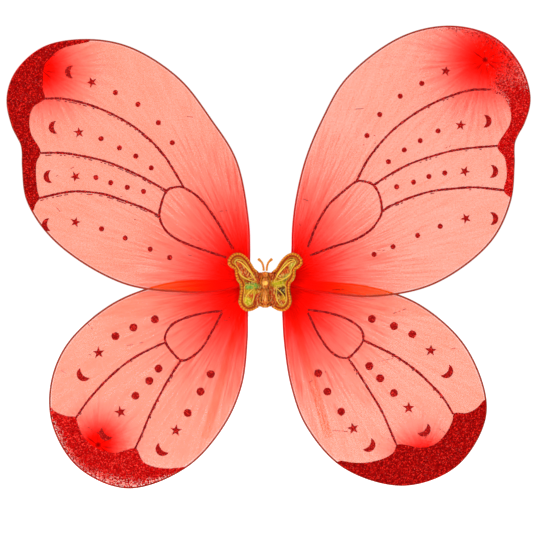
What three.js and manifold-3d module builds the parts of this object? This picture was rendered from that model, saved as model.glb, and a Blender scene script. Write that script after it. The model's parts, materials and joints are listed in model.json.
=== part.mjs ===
// Butterfly-shaped costume wings: four wire hoops in sheer nylon covers, carried on twisted wire stems by a
// small bound centre, with a butterfly patch on the outer side, and a felt pad with two elastic arm loops on
// the wearer's side. Millimetres. +X is to the right when the patch is looked at, +Y points at the wearer's
// back and +Z is up. The origin is on the pad's rear face, which rests on the wearer's back, midway between
// the four stems.
import * as THREE from "three";
import { mergeVertices } from "three/addons/utils/BufferGeometryUtils.js";
import Module from "manifold-3d";

const wasm = await Module();
wasm.setup();

// ---- Driving dimensions ----
const WING_SPAN = 510; // left tip to right tip
const WING_HEIGHT = 451; // lowest to highest point of the hoops
const WIRE_DIAMETER = 1.8;
const NYLON_THICKNESS = 1.2; // both layers of the cover and the air between them
const HINGE_X = 11.5; // where the wire stems bend, from the middle
const STEM_Z = 3.5; // height of a stem's centre above or below the middle
const WIRE_END_GAP = 0.6; // between a hoop's two wire ends, one above the other
const WING_STAGGER = 1.55; // how far the upper hoops lie in front of, and the lower ones behind, the stems
const CLEARANCE = 0.3; // between pieces that touch

const PAD_WIDTH = 60;
const PAD_HEIGHT = 31;
const PAD_DROP = 5.5; // the pad's centre below the middle, so that the patch hides it
const PAD_CORNER = 11;
const FELT_THICKNESS = 2;
const FOAM_THICKNESS = 2.6;
const FOAM_INSET = 2.5; // the foam stops short of the felts' edge

const STRAP_WIDTH = 8;
const STRAP_THICKNESS = 1.1;
const STRAP_X = 24; // where an arm loop leaves the pad, from the middle
const STRAP_SPLAY = THREE.MathUtils.degToRad(16); // outwards from straight down
const STRAP_DROP = 134; // how far a hanging loop reaches below its fold
const STRAP_BULGE = 33; // how far its rear leg stands back from its front leg
const STRAP_TAB = 15; // length sewn into the pad
const STRAP_BELOW_PAD = 2.7; // the fold's centre below the felts' edge, so that the loop can lift

const WRAP_WALL = 0.8;
const WRAP_LENGTH = 14.4;
const TIE_WALL = 0.8;
const TIE_LENGTH = 2.5;
const TWIST_PITCH = 12;
const STEM_GAP_AT_MIDDLE = 1.2;

const KNOT_RADIUS = 2.5;
const KNOT_LENGTH = 5.5;

const PATCH_WIDTH = 76;
const PATCH_HEIGHT = 58;
const PATCH_X = -1.8; // the patch is glued on a little left of the middle
const PATCH_THICKNESS = 1.2;
const PATCH_LIFT = THREE.MathUtils.degToRad(15); // its wings stand forward of the hoops
const PATCH_HINGE = 6; // from the patch's centre line
const PATCH_CORE_HALF = 5.35; // clear of a patch wing that is folded right forward
const PATCH_WING_START = 0.4; // a patch wing's edge beyond its fold line
const CORD_RADIUS = 1.1;
const CORD_SET_IN = 0.2; // between the cord's outer side and the backing's edge
const FOIL_THICKNESS = 1.2;
const HEAD_DEPTH = 4.6;
const THORAX_DEPTH = 5.4;
const ABDOMEN_DEPTH = 4.8;
const BEAD_DEPTH = 2;
const FEELER_RADIUS = 0.95;
const FEELER_TIP_RADIUS = 1.5;

// ---- Places that follow from them ----
const WIRE_RADIUS = WIRE_DIAMETER / 2;
const STEM_RADIUS = WIRE_DIAMETER; // two wires twisted round each other
const coverBack = 0;
const foamBack = coverBack - FELT_THICKNESS - CLEARANCE;
const innerFeltBack = foamBack - FOAM_THICKNESS - CLEARANCE;
const wrapBack = innerFeltBack - FELT_THICKNESS - CLEARANCE;
const stemY = wrapBack - WRAP_WALL - CLEARANCE - STEM_RADIUS;
const wrapFront = stemY - STEM_RADIUS - CLEARANCE - WRAP_WALL;
const patchBack = wrapFront - CLEARANCE;
const patchFront = patchBack - PATCH_THICKNESS;
const strapY = foamBack - FOAM_THICKNESS / 2;

// The outlines below are drawn on templates of these sizes, and stretch with the driving dimensions.
const TEMPLATE = { span: 510, height: 451, patchWidth: 76, patchHeight: 58 };
const spanScale = WING_SPAN / TEMPLATE.span;
const heightScale = WING_HEIGHT / TEMPLATE.height;
const patchX = PATCH_WIDTH / TEMPLATE.patchWidth;
const patchZ = PATCH_HEIGHT / TEMPLATE.patchHeight;

// ---- Looks ----
const plain = (color, roughness, metalness = 0) => new THREE.MeshStandardMaterial({ color, roughness, metalness });
const looks = {
  wire: plain(0x8c1f1c, 0.45, 0.6),
  nylon: plain(0xf26a5e, 0.7),
  thread: plain(0xa80c10, 0.8),
  felt: plain(0xb01218, 0.95),
  foam: plain(0xe8e2d8, 0.95),
  elastic: plain(0xf3f1ee, 0.85),
  tape: plain(0xc81a1a, 0.6),
  patch: plain(0xc0401c, 0.8),
  cord: plain(0xd98a2e, 0.5, 0.4),
  foil: plain(0xe0902c, 0.3, 0.7),
  gem: plain(0xf0b030, 0.2, 0.5),
};

const part = new THREE.Group();

/** Adds one named piece to a group, the whole part unless another is given. */
function addPiece(name, geometry, material, group = part) {
  const mesh = new THREE.Mesh(geometry, material);
  mesh.name = name;
  group.add(mesh);
  return mesh;
}

// ---- Joining and cutting ----
const MERGE_DISTANCE = 1e-4;

function solidFrom(geometry) {
  const bare = geometry.index ? geometry.toNonIndexed() : geometry.clone();
  bare.deleteAttribute("normal");
  bare.deleteAttribute("uv");
  const merged = mergeVertices(bare, MERGE_DISTANCE);
  const vertProperties = merged.attributes.position.array;
  const triVerts = new Uint32Array(merged.index.array);
  return new wasm.Manifold(new wasm.Mesh({ numProp: 3, vertProperties, triVerts }));
}

function geometryFrom(solid) {
  const mesh = solid.getMesh();
  const geometry = new THREE.BufferGeometry();
  geometry.setAttribute("position", new THREE.BufferAttribute(Float32Array.from(mesh.vertProperties), 3));
  geometry.setIndex(new THREE.BufferAttribute(Uint32Array.from(mesh.triVerts), 1));
  return geometry;
}

const joined = (...geometries) => geometryFrom(geometries.map(solidFrom).reduce((a, b) => a.add(b)));
const cut = (geometry, tool) => geometryFrom(solidFrom(geometry).subtract(solidFrom(tool)));

// ---- Shapes shared by several pieces ----
function roundedRectangle(width, height, corner) {
  const [w, h] = [width / 2, height / 2];
  const shape = new THREE.Shape();
  shape.moveTo(w, -h + corner);
  shape.absarc(w - corner, h - corner, corner, 0, Math.PI / 2);
  shape.absarc(-w + corner, h - corner, corner, Math.PI / 2, Math.PI);
  shape.absarc(-w + corner, -h + corner, corner, Math.PI, Math.PI * 1.5);
  shape.absarc(w - corner, -h + corner, corner, Math.PI * 1.5, Math.PI * 2);
  return shape;
}

/** A flat piece drawn in X and Z, whose rear face lies at back and which is that thick towards the front. */
function plate(shape, back, thickness, curveSegments = 6) {
  const geometry = new THREE.ExtrudeGeometry(shape, { depth: thickness, bevelEnabled: false, curveSegments });
  return geometry.rotateX(Math.PI / 2).translate(0, back, 0);
}

const circle = (radius) => new THREE.Shape().absarc(0, 0, radius, 0, Math.PI * 2);

/** A round wire of that radius along a curve. */
function tube(curve, radius, steps, sides) {
  return new THREE.ExtrudeGeometry(circle(radius), {
    extrudePath: curve,
    steps,
    curveSegments: sides / 2,
    bevelEnabled: false,
  });
}

// ---- Wings ----
// Each outline runs from the wire end nearer the middle, up or down the inner edge, round the tip and back,
// as X and Z on the template. The hoops are bent by hand, so the left and right ones differ a little.
const outlines = {
  upper_left: [
    [-15, 8.4], [-17, 15], [-17.2, 28], [-18.4, 60], [-30.4, 120], [-55, 160], [-86.7, 200], [-134, 230],
    [-176, 237.5], [-218, 230], [-245, 206], [-253.5, 180], [-248, 152], [-239.4, 134], [-238.4, 112],
    [-233.7, 80], [-205.5, 40], [-140, 0], [-77, -8.5], [-46, -7], [-28, -3.6], [-18, 0.3],
  ],
  upper_right: [
    [16, 9], [22.4, 18], [24.5, 30], [25.2, 52], [28.4, 80], [37.8, 120], [54.3, 160], [78, 200], [131, 240],
    [179, 250.5], [220.6, 240], [246, 214], [256.5, 181], [251.5, 158], [241.6, 138], [241, 116], [237.3, 80],
    [217.6, 40], [163.7, 0], [105, -12.6], [58, -9], [28, -3.6], [18, 0.3],
  ],
  lower_left: [
    [-15.6, -8.6], [-18.6, -16], [-19.4, -30], [-19.8, -56], [-25.3, -100], [-43, -140], [-79.6, -180],
    [-136, -200], [-183.7, -180], [-208.6, -140], [-211, -100], [-195, -60], [-149.8, -20], [-94, 0],
    [-58, 2.2], [-28, 0.9], [-18, -0.8],
  ],
  lower_right: [
    [14, -8], [15.4, -16], [15.8, -32], [17.4, -58], [24, -100], [39, -140], [75, -180], [133, -197.4],
    [183, -180], [210, -142], [213.4, -112], [192, -60], [148, -21], [104, -5], [66, 0], [28, 0.4], [18, -0.8],
  ],
};

/** Where the nylon's toe is gathered and tied off, behind each wing, on the template. */
const knots = {
  upper_left: [-221, 209],
  upper_right: [213, 218],
  lower_left: [-165, -158],
  lower_right: [152, -172],
};

const HOOP_STEPS = 90;
const HOOP_SIDES = 6;
const COVER_START = 2; // steps from each wire end that the cover's solid leaves bare

/** The centre line of a hoop's wire, whose two ends lie on the line that its stem bends about. */
function hoopCurve(name) {
  const side = name.endsWith("left") ? -1 : 1;
  const height = name.startsWith("upper") ? 1 : -1;
  const spread = (WIRE_DIAMETER + WIRE_END_GAP) / 2;
  const end = (offset) => new THREE.Vector3(side * HINGE_X, stemY, height * (STEM_Z + offset));
  const y = stemY - height * WING_STAGGER;
  const route = outlines[name].map(([x, z]) => new THREE.Vector3(x * spanScale, y, z * heightScale));
  return new THREE.CatmullRomCurve3([end(spread), ...route, end(-spread)], false, "centripetal");
}

/** The hoop, with its two ends rounded. */
function hoop(curve) {
  const balls = [0, 1].map((t) => {
    const { x, y, z } = curve.getPoint(t);
    return new THREE.SphereGeometry(WIRE_RADIUS, HOOP_SIDES, 6).translate(x, y, z);
  });
  return joined(tube(curve, WIRE_RADIUS, HOOP_STEPS, HOOP_SIDES), ...balls);
}

/** The nylon cover as one flat solid inside the hoop, clear of the wire. */
function cover(curve, y) {
  const inset = WIRE_RADIUS + CLEARANCE;
  const points = [];
  for (let step = COVER_START; step <= HOOP_STEPS - COVER_START; step++) {
    const at = curve.getPointAt(step / HOOP_STEPS);
    const along = curve.getTangentAt(step / HOOP_STEPS);
    points.push({ at: new THREE.Vector2(at.x, at.z), normal: new THREE.Vector2(-along.z, along.x).normalize() });
  }
  const inwards = THREE.ShapeUtils.isClockWise(points.map((p) => p.at)) ? -1 : 1;
  const shape = new THREE.Shape(points.map(({ at, normal }) => at.addScaledVector(normal, inwards * inset)));
  return plate(shape, y + NYLON_THICKNESS / 2, NYLON_THICKNESS);
}

/** The tied-off toe of a cover: a waist of thread with the gathered end behind it. */
function toeKnot() {
  const profile = [[0, 0], [0.62, 0], [0.56, 0.3], [1, 0.55], [0.9, 0.85], [0, 1]];
  const points = profile.map(([r, h]) => new THREE.Vector2(r * KNOT_RADIUS, h * KNOT_LENGTH));
  return new THREE.LatheGeometry(points, 12);
}

function addWing(name) {
  const height = name.startsWith("upper") ? 1 : -1;
  const y = stemY - height * WING_STAGGER;
  const curve = hoopCurve(name);
  addPiece(`${name}_wire_hoop`, hoop(curve), looks.wire);
  addPiece(`${name}_nylon_cover`, cover(curve, y), looks.nylon);
  const [x, z] = knots[name];
  const knot = addPiece(`${name}_toe_knot`, toeKnot(), looks.thread);
  knot.position.set(x * spanScale, y + NYLON_THICKNESS / 2 + CLEARANCE, z * heightScale);
}

// ---- Stems, their wrap and their ties ----
const ROUND_END_SHY = 0.01; // the wrap's round ends stop this far short of a half circle
const PAIR_BITE = 0.1; // the pair is pressed together by this much, so that it is one solid
const STEM_STEPS = 10;

/** Two wires twisted round each other, from z = 0 to length. */
function twistedPair(length) {
  const offset = WIRE_RADIUS - PAIR_BITE;
  const waist = Math.acos(offset / WIRE_RADIUS);
  const section = new THREE.Shape();
  section.absarc(offset, 0, WIRE_RADIUS, waist - Math.PI, Math.PI - waist);
  section.absarc(-offset, 0, WIRE_RADIUS, waist, Math.PI * 2 - waist);
  const options = { depth: length, steps: STEM_STEPS, bevelEnabled: false, curveSegments: 3 };
  const geometry = new THREE.ExtrudeGeometry(section, options);
  const at = geometry.attributes.position;
  for (let i = 0; i < at.count; i++) {
    const point = new THREE.Vector3().fromBufferAttribute(at, i);
    point.applyAxisAngle(new THREE.Vector3(0, 0, 1), (point.z * Math.PI * 2) / TWIST_PITCH);
    at.setXYZ(i, point.x, point.y, point.z);
  }
  return geometry;
}

function addStem(name) {
  const side = name.endsWith("left") ? -1 : 1;
  const height = name.startsWith("upper") ? 1 : -1;
  const outerEnd = HINGE_X - WIRE_RADIUS - CLEARANCE;
  const length = outerEnd - STEM_GAP_AT_MIDDLE / 2;
  const stem = addPiece(`${name}_twisted_stem`, twistedPair(length).rotateY(Math.PI / 2), looks.wire);
  stem.position.set(side * outerEnd, stemY, height * STEM_Z);
  if (side > 0) stem.rotation.z = Math.PI;

  const section = circle(STEM_RADIUS + CLEARANCE + TIE_WALL);
  section.holes.push(new THREE.Path().absarc(0, 0, STEM_RADIUS + CLEARANCE, 0, Math.PI * 2));
  const ring = new THREE.ExtrudeGeometry(section, { depth: TIE_LENGTH, bevelEnabled: false, curveSegments: 8 });
  const tie = addPiece(`${name}_root_tie`, ring.translate(0, 0, -TIE_LENGTH / 2), looks.thread);
  tie.rotation.y = Math.PI / 2;
  tie.position.set(side * (WRAP_LENGTH / 2 + CLEARANCE + TIE_LENGTH / 2), stemY, height * STEM_Z);
}

function stemWrap() {
  const innerHeight = 2 * (STEM_Z + STEM_RADIUS + CLEARANCE);
  const innerDepth = 2 * (STEM_RADIUS + CLEARANCE);
  const outerCorner = innerDepth / 2 + WRAP_WALL - ROUND_END_SHY;
  const section = roundedRectangle(innerHeight + 2 * WRAP_WALL, innerDepth + 2 * WRAP_WALL, outerCorner);
  section.holes.push(roundedRectangle(innerHeight, innerDepth, WRAP_WALL));
  const sleeve = new THREE.ExtrudeGeometry(section, { depth: WRAP_LENGTH, bevelEnabled: false, curveSegments: 5 });
  return sleeve
    .translate(0, 0, -WRAP_LENGTH / 2)
    .rotateY(Math.PI / 2)
    .translate(0, stemY, 0);
}

// ---- Pad and arm loops ----
const strapTop = -PAD_DROP - PAD_HEIGHT / 2 - STRAP_BELOW_PAD; // height of the line that a loop swings about

/** A frame at an arm loop's fold: X across the elastic, Y to the wearer and -Z down along the loop. */
function strapFrame(side) {
  const frame = new THREE.Group();
  frame.position.set(side * STRAP_X, strapY, strapTop);
  frame.rotation.y = -side * STRAP_SPLAY;
  part.add(frame);
  return frame;
}

/** The elastic's centre line seen from the side, as depth towards the wearer and height below the fold. */
function loopCurve() {
  const leg = STRAP_THICKNESS / 2;
  const route = [
    [-leg, 0], [-leg - 0.5, 0.25], [-leg - 0.5, 0.6], [-leg + 1, 0.82], [STRAP_BULGE * 0.24, 0.965],
    [STRAP_BULGE * 0.58, 0.995], [STRAP_BULGE * 0.93, 0.88], [STRAP_BULGE * 0.97, 0.7], [STRAP_BULGE * 0.66, 0.42],
    [STRAP_BULGE * 0.2, 0.14], [leg + 1, 0.05], [leg, 0],
  ];
  const points = route.map(([depth, drop]) => new THREE.Vector3(depth, -drop * STRAP_DROP, 0));
  return new THREE.CatmullRomCurve3(points, false, "centripetal");
}

/** The loop's band in side view: outside edge, rounded over the fold, with the opening for an arm inside. */
function loopShape() {
  const curve = loopCurve();
  const samples = 48;
  const half = STRAP_THICKNESS / 2;
  const edge = (sign) =>
    Array.from({ length: samples + 1 }, (_, i) => {
      const at = curve.getPointAt(i / samples);
      const along = curve.getTangentAt(i / samples);
      return new THREE.Vector2(at.x - sign * half * along.y, at.y + sign * half * along.x);
    });
  const outside = edge(-1);
  const foldRadius = STRAP_THICKNESS;
  const fold = Array.from({ length: 5 }, (_, i) => {
    const angle = (i + 1) * (Math.PI / 6);
    return new THREE.Vector2(foldRadius * Math.cos(angle), foldRadius * Math.sin(angle));
  });
  const shape = new THREE.Shape([...outside.slice(1, -1), new THREE.Vector2(foldRadius, 0), ...fold]);
  shape.lineTo(-foldRadius, 0);
  const openBelow = -0.12 * STRAP_DROP; // the two legs lie on each other above this
  shape.holes.push(new THREE.Path(edge(1).filter((p) => p.y < openBelow)));
  return shape;
}

function addArmLoop(side) {
  const label = side < 0 ? "left" : "right";
  const frame = strapFrame(side);
  const band = new THREE.ExtrudeGeometry(loopShape(), { depth: STRAP_WIDTH, bevelEnabled: false, curveSegments: 1 });
  band.translate(0, 0, -STRAP_WIDTH / 2).applyMatrix4(
    new THREE.Matrix4().makeBasis(new THREE.Vector3(0, 1, 0), new THREE.Vector3(0, 0, 1), new THREE.Vector3(1, 0, 0)),
  );
  addPiece(`${label}_elastic_loop`, band, looks.elastic, frame);
  const tab = new THREE.BoxGeometry(STRAP_WIDTH, 2 * STRAP_THICKNESS, STRAP_TAB);
  tab.translate(0, 0, STRAP_THICKNESS + CLEARANCE + STRAP_TAB / 2);
  addPiece(`${label}_elastic_tab`, tab, looks.elastic, frame);
}

const CUT_PAST = 1; // how far a cut reaches beyond each face of the foam

/** The room that a loop's sewn end takes in the foam, open at the foam's lower edge. */
function tabRoom(side) {
  const room = STRAP_TAB + STRAP_BELOW_PAD + CLEARANCE;
  const box = new THREE.BoxGeometry(STRAP_WIDTH + 2 * CLEARANCE, FOAM_THICKNESS + 2 * CUT_PAST, room);
  const height = STRAP_THICKNESS + 2 * CLEARANCE + STRAP_TAB - room / 2;
  box.translate(0, 0, height).rotateY(-side * STRAP_SPLAY);
  return box.translate(side * STRAP_X, strapY, strapTop);
}

const padPlate = (shape, back, thickness) => plate(shape, back, thickness, 4).translate(0, 0, -PAD_DROP);

function addPad() {
  const felt = () => roundedRectangle(PAD_WIDTH, PAD_HEIGHT, PAD_CORNER);
  addPiece("rear_felt_cover", padPlate(felt(), coverBack, FELT_THICKNESS), looks.felt);
  addPiece("front_felt_cover", padPlate(felt(), innerFeltBack, FELT_THICKNESS), looks.felt);
  const inset = 2 * FOAM_INSET;
  const foam = roundedRectangle(PAD_WIDTH - inset, PAD_HEIGHT - inset, PAD_CORNER - FOAM_INSET);
  const slab = padPlate(foam, foamBack, FOAM_THICKNESS);
  addPiece("foam_core", cut(cut(slab, tabRoom(-1)), tabRoom(1)), looks.foam);
}

// ---- Butterfly patch ----
// The patch's core strip on its template.
const CORE_TOP = 11;
const CORE_BOTTOM = -24;
const CORE_CORNER = 4;
const WING_BOTTOM = -23.6; // where a patch wing's outline ends at its fold line

// Outlines of one side of the patch, as distance from its centre line and height on its template.
const foreWing = [
  [11, 14.5], [15, 21], [20, 26.5], [26, 29.6], [32.4, 28.4], [36.8, 24], [37.6, 19.6], [35, 15.6], [30.8, 13],
  [30.2, 7.5], [28, 2.4], [25.6, -0.4],
];
const hindWing = [
  [25, -6], [26, -12.5], [26.6, -19], [23.6, -24.4], [18, -27.6], [12.4, -26.8],
];
const foreFoil = [[11.5, 6.5], [16, 14], [22, 21.5], [29, 23.6], [31.6, 20], [27.4, 13.6], [24, 7], [17, 3.6]];
const hindFoil = [[11.6, -2], [21, -1.6], [21.6, -9], [22.4, -17], [17.6, -22.6], [13, -18], [11.4, -10]];

const onPatch = ([x, z]) => new THREE.Vector2(x * patchX, z * patchZ);
const wingEdge = PATCH_HINGE + PATCH_WING_START;

function splineShape(points) {
  return new THREE.Shape(new THREE.SplineCurve([...points, points[0]]).getSpacedPoints(points.length * 2).slice(1));
}

/** One side's outline, from the fold line at the top, round both wings, to the fold line at the bottom. */
function patchOutline() {
  const rim = new THREE.SplineCurve([...foreWing, ...hindWing].map(onPatch)).getPoints(48);
  const top = new THREE.Vector2(wingEdge, CORE_TOP * patchZ);
  const bottom = new THREE.Vector2(wingEdge, WING_BOTTOM * patchZ);
  return [top, ...rim, bottom];
}

/** A fold frame whose +X runs out along one patch wing and whose -Y is that wing's front. */
function patchFrame(side) {
  const frame = new THREE.Group();
  frame.position.set(PATCH_X + side * PATCH_HINGE, (patchBack + patchFront) / 2, 0);
  frame.rotation.z = -side * PATCH_LIFT;
  part.add(frame);
  return frame;
}

/** Mirrors points for the left side, measured from the fold line. */
const fromFold = (side) => (p) => new THREE.Vector2(side * (p.x - PATCH_HINGE), p.y);

function addPatchWing(side) {
  const label = side < 0 ? "left" : "right";
  const frame = patchFrame(side);
  const place = fromFold(side);
  const half = PATCH_THICKNESS / 2;
  const backing = new THREE.Shape(patchOutline().map(place));
  addPiece(`butterfly_${label}_backing`, plate(backing, half, PATCH_THICKNESS), looks.patch, frame);

  const inset = CORD_RADIUS + CORD_SET_IN;
  const rim = [...foreWing, ...hindWing].map(([x, z]) => onPatch([x, z]));
  const middle = onPatch([20, 0]);
  const cordFront = -half - CLEARANCE - CORD_RADIUS;
  const route = rim.map((p) => {
    const pulled = p.clone().add(middle.clone().sub(p).setLength(inset));
    const placed = place(pulled);
    return new THREE.Vector3(placed.x, cordFront, placed.y);
  });
  const cord = tube(new THREE.CatmullRomCurve3(route, false, "centripetal"), CORD_RADIUS, 36, 6);
  addPiece(`butterfly_${label}_edge_cord`, cord, looks.cord, frame);

  for (const [wing, outline] of [["fore", foreFoil], ["hind", hindFoil]]) {
    const shape = splineShape(outline.map(onPatch).map(place));
    addPiece(`butterfly_${label}_${wing}_foil`, plate(shape, -half - CLEARANCE, FOIL_THICKNESS), looks.foil, frame);
  }
}

/** A body segment: an oval of that width and height, flattened from front to back. */
function bodySegment(width, height, depth) {
  const oval = new THREE.SphereGeometry(1, 12, 8).rotateX(Math.PI / 2);
  return oval.scale(width / 2, depth / 2, height / 2);
}

function addPatchBody() {
  const coreTop = CORE_TOP * patchZ;
  const coreBottom = CORE_BOTTOM * patchZ;
  const core = roundedRectangle(2 * PATCH_CORE_HALF, coreTop - coreBottom, CORE_CORNER);
  const strip = plate(core, patchBack, PATCH_THICKNESS).translate(PATCH_X, 0, (coreTop + coreBottom) / 2);
  addPiece("butterfly_core_strip", strip, looks.patch);
  const segments = [
    ["butterfly_head", 6, 5.4, 8.6, HEAD_DEPTH],
    ["butterfly_thorax", 8, 11, 0, THORAX_DEPTH],
    ["butterfly_abdomen", 7, 16, -13.8, ABDOMEN_DEPTH],
  ];
  for (const [name, width, height, z, depth] of segments) {
    const segment = addPiece(name, bodySegment(width * patchX, height * patchZ, depth), looks.foil);
    segment.position.set(PATCH_X, patchFront - CLEARANCE - depth / 2, z * patchZ);
  }
  const bead = addPiece("butterfly_bead", bodySegment(5.6 * patchX, 4.6 * patchZ, BEAD_DEPTH), looks.gem);
  bead.position.set(PATCH_X, patchFront - 2 * CLEARANCE - THORAX_DEPTH - BEAD_DEPTH / 2, 0);
  for (const side of [-1, 1]) {
    const label = side < 0 ? "left" : "right";
    const y = patchFront - CLEARANCE - HEAD_DEPTH / 2;
    const route = [[1.5, 11.9], [1.7, 15.5], [3.2, 20], [7, 24]].map(
      ([x, z]) => new THREE.Vector3(PATCH_X + side * x * patchX, y, z * patchZ),
    );
    const feeler = tube(new THREE.CatmullRomCurve3(route, false, "centripetal"), FEELER_RADIUS, 12, 6);
    const tip = new THREE.SphereGeometry(FEELER_TIP_RADIUS, 8, 6).translate(route[3].x, y, route[3].z);
    addPiece(`butterfly_${label}_antenna`, joined(feeler, tip), looks.cord);
  }
}

// ---- The whole part ----
for (const name of Object.keys(outlines)) {
  addWing(name);
  addStem(name);
}
addPiece("stem_wrap", stemWrap(), looks.tape);
addPad();
addPatchBody();
for (const side of [-1, 1]) {
  addArmLoop(side);
  addPatchWing(side);
}

export default part;
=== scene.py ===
"""Dresses a pair of butterfly-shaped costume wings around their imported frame.

Lengths are in metres, in the frame's own axes: +X to the right when the decorated side is looked at, +Y
towards the wearer's back and +Z up. Patterns are laid out in millimetres, and MM turns them into metres.
"""

from __future__ import annotations

import json
import logging
import math
import random
from collections.abc import Callable
from dataclasses import dataclass, replace
from enum import Enum
from functools import cache

import bmesh
import bpy
import numpy as np
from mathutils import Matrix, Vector
from mathutils.bvhtree import BVHTree
from mathutils.geometry import delaunay_2d_cdt

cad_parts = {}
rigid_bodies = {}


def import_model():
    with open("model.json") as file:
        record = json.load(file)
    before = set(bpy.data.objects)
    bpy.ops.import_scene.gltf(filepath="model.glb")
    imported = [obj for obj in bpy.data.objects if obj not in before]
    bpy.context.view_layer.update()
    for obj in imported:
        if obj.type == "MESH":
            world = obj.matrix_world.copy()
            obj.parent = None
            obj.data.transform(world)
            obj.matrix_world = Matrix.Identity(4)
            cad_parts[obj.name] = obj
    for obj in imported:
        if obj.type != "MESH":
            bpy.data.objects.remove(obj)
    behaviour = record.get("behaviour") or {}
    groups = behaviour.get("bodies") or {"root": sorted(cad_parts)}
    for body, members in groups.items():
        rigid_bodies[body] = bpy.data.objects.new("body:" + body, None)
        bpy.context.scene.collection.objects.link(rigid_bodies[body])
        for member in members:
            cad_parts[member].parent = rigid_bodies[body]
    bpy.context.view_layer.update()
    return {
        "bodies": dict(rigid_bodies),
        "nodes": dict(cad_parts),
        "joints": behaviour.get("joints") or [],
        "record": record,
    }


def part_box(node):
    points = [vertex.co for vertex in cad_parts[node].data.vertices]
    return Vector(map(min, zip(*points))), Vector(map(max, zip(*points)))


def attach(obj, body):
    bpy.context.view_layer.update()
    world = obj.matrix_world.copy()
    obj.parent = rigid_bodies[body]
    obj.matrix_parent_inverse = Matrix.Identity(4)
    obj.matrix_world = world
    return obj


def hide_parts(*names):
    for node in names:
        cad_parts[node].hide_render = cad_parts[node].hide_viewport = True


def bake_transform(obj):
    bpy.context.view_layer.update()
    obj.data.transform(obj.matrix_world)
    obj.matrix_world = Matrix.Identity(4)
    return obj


LOG = logging.getLogger("fairy_wings")
MM = 0.001
Colour = tuple[float, float, float]
Pair = tuple[float, float]
Points = list[Pair]
Places = tuple[Pair, ...]
Thing = bpy.types.Object
Faces = list[tuple[int, ...]]
Mesh = tuple[np.ndarray, Faces, np.ndarray]
Relief = Callable[[np.ndarray, np.ndarray], np.ndarray]
Socket = bpy.types.NodeSocket
Value = Socket | float | tuple[float, ...]
TURN = 2 * math.pi


class Side(Enum):
    """Left and right, as the decorated side is looked at."""

    LEFT = -1
    RIGHT = 1

    @property
    def label(self) -> str:
        """The word used in the frame's names."""
        return self.name.lower()


class Shape(Enum):
    """The printed shapes."""

    DOT = "dot"
    STAR = "star"
    CRESCENT = "crescent"


# ---- Mesh helpers ----
def make_piece(
    name: str, verts: np.ndarray, faces: Faces, material: bpy.types.Material, uv: np.ndarray | None = None
) -> Thing:
    """Makes a smooth mesh object and gives each corner a place in millimetres for its pattern.

    Args:
        name: The piece's name.
        verts: Points in metres.
        faces: Lists of point numbers.
        material: The piece's finish.
        uv: A place in millimetres for each point, or None to look along Y.

    Returns:
        The new object.
    """
    mesh = bpy.data.meshes.new(name)
    mesh.from_pydata([tuple(v) for v in verts], [], [tuple(f) for f in faces])
    places = np.asarray(verts)[:, [0, 2]] / MM if uv is None else np.asarray(uv)
    layer = mesh.uv_layers.new(name="pattern_mm")
    corner = np.zeros(len(mesh.loops), np.int32)
    mesh.loops.foreach_get("vertex_index", corner)
    layer.data.foreach_set("uv", places[corner].astype(np.float32).ravel())
    mesh.polygons.foreach_set("use_smooth", [True] * len(mesh.polygons))
    mesh.materials.append(material)
    piece = bpy.data.objects.new(name, mesh)
    bpy.context.scene.collection.objects.link(piece)
    return piece


def dressed(name: str, finish: Finish, *parts: Mesh) -> Thing:
    """Makes one piece of several swept or flat parts.

    Args:
        name: The piece's name.
        finish: Its finish.
        parts: Points in metres, faces, and a place in millimetres for each point.

    Returns:
        The new object.
    """
    verts, faces, uv, first = [], [], [], 0
    for part_verts, part_faces, part_uv in parts:
        verts.append(part_verts)
        uv.append(part_uv)
        faces.extend(tuple(first + k for k in face) for face in part_faces)
        first += len(part_verts)
    return make_piece(name, np.vstack(verts), faces, finish.make(), np.vstack(uv))


def settle(piece: Thing, body: str, slot: str, *nodes: str) -> Thing:
    """Hands a piece to the frame: its body and the nodes that it stands for.

    Args:
        piece: The piece.
        body: The body that it rides on.
        slot: Its finish slot; not used.
        nodes: The nodes that it stands for, if any.

    Returns:
        The same piece.
    """
    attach(piece, body)
    if nodes:
        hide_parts(*nodes)
    LOG.info("%s rides on %s", piece.name, body)
    return piece


def close_up(piece: Thing, distance: float = 1e-6) -> None:
    """Merges points that coincide and turns every face outwards.

    Args:
        piece: The piece.
        distance: How close points must be to merge, in metres.
    """
    mesh = bmesh.new()
    mesh.from_mesh(piece.data)
    bmesh.ops.remove_doubles(mesh, verts=mesh.verts, dist=distance)
    bmesh.ops.recalc_face_normals(mesh, faces=mesh.faces)
    mesh.to_mesh(piece.data)
    mesh.free()


def travelled(line: np.ndarray) -> np.ndarray:
    """The distance from a line's start to each of its points."""
    return np.concatenate([[0], np.cumsum(np.linalg.norm(np.diff(line, axis=0), axis=1))])


def leftwards(along: np.ndarray) -> np.ndarray:
    """Unit vectors that point to the left of flat directions."""
    unit = along / np.linalg.norm(along, axis=1)[:, None]
    return np.stack([-unit[:, 1], unit[:, 0]], axis=1)


def closed(ring: np.ndarray) -> np.ndarray:
    """A ring of points with its first point again at its end."""
    return np.vstack([ring, ring[:1]])


def enclosed(x: np.ndarray, z: np.ndarray) -> float:
    """The area inside a closed outline, below 0 for one that runs clockwise."""
    return 0.5 * float(np.sum(x * np.roll(z, -1) - z * np.roll(x, -1)))


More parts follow.
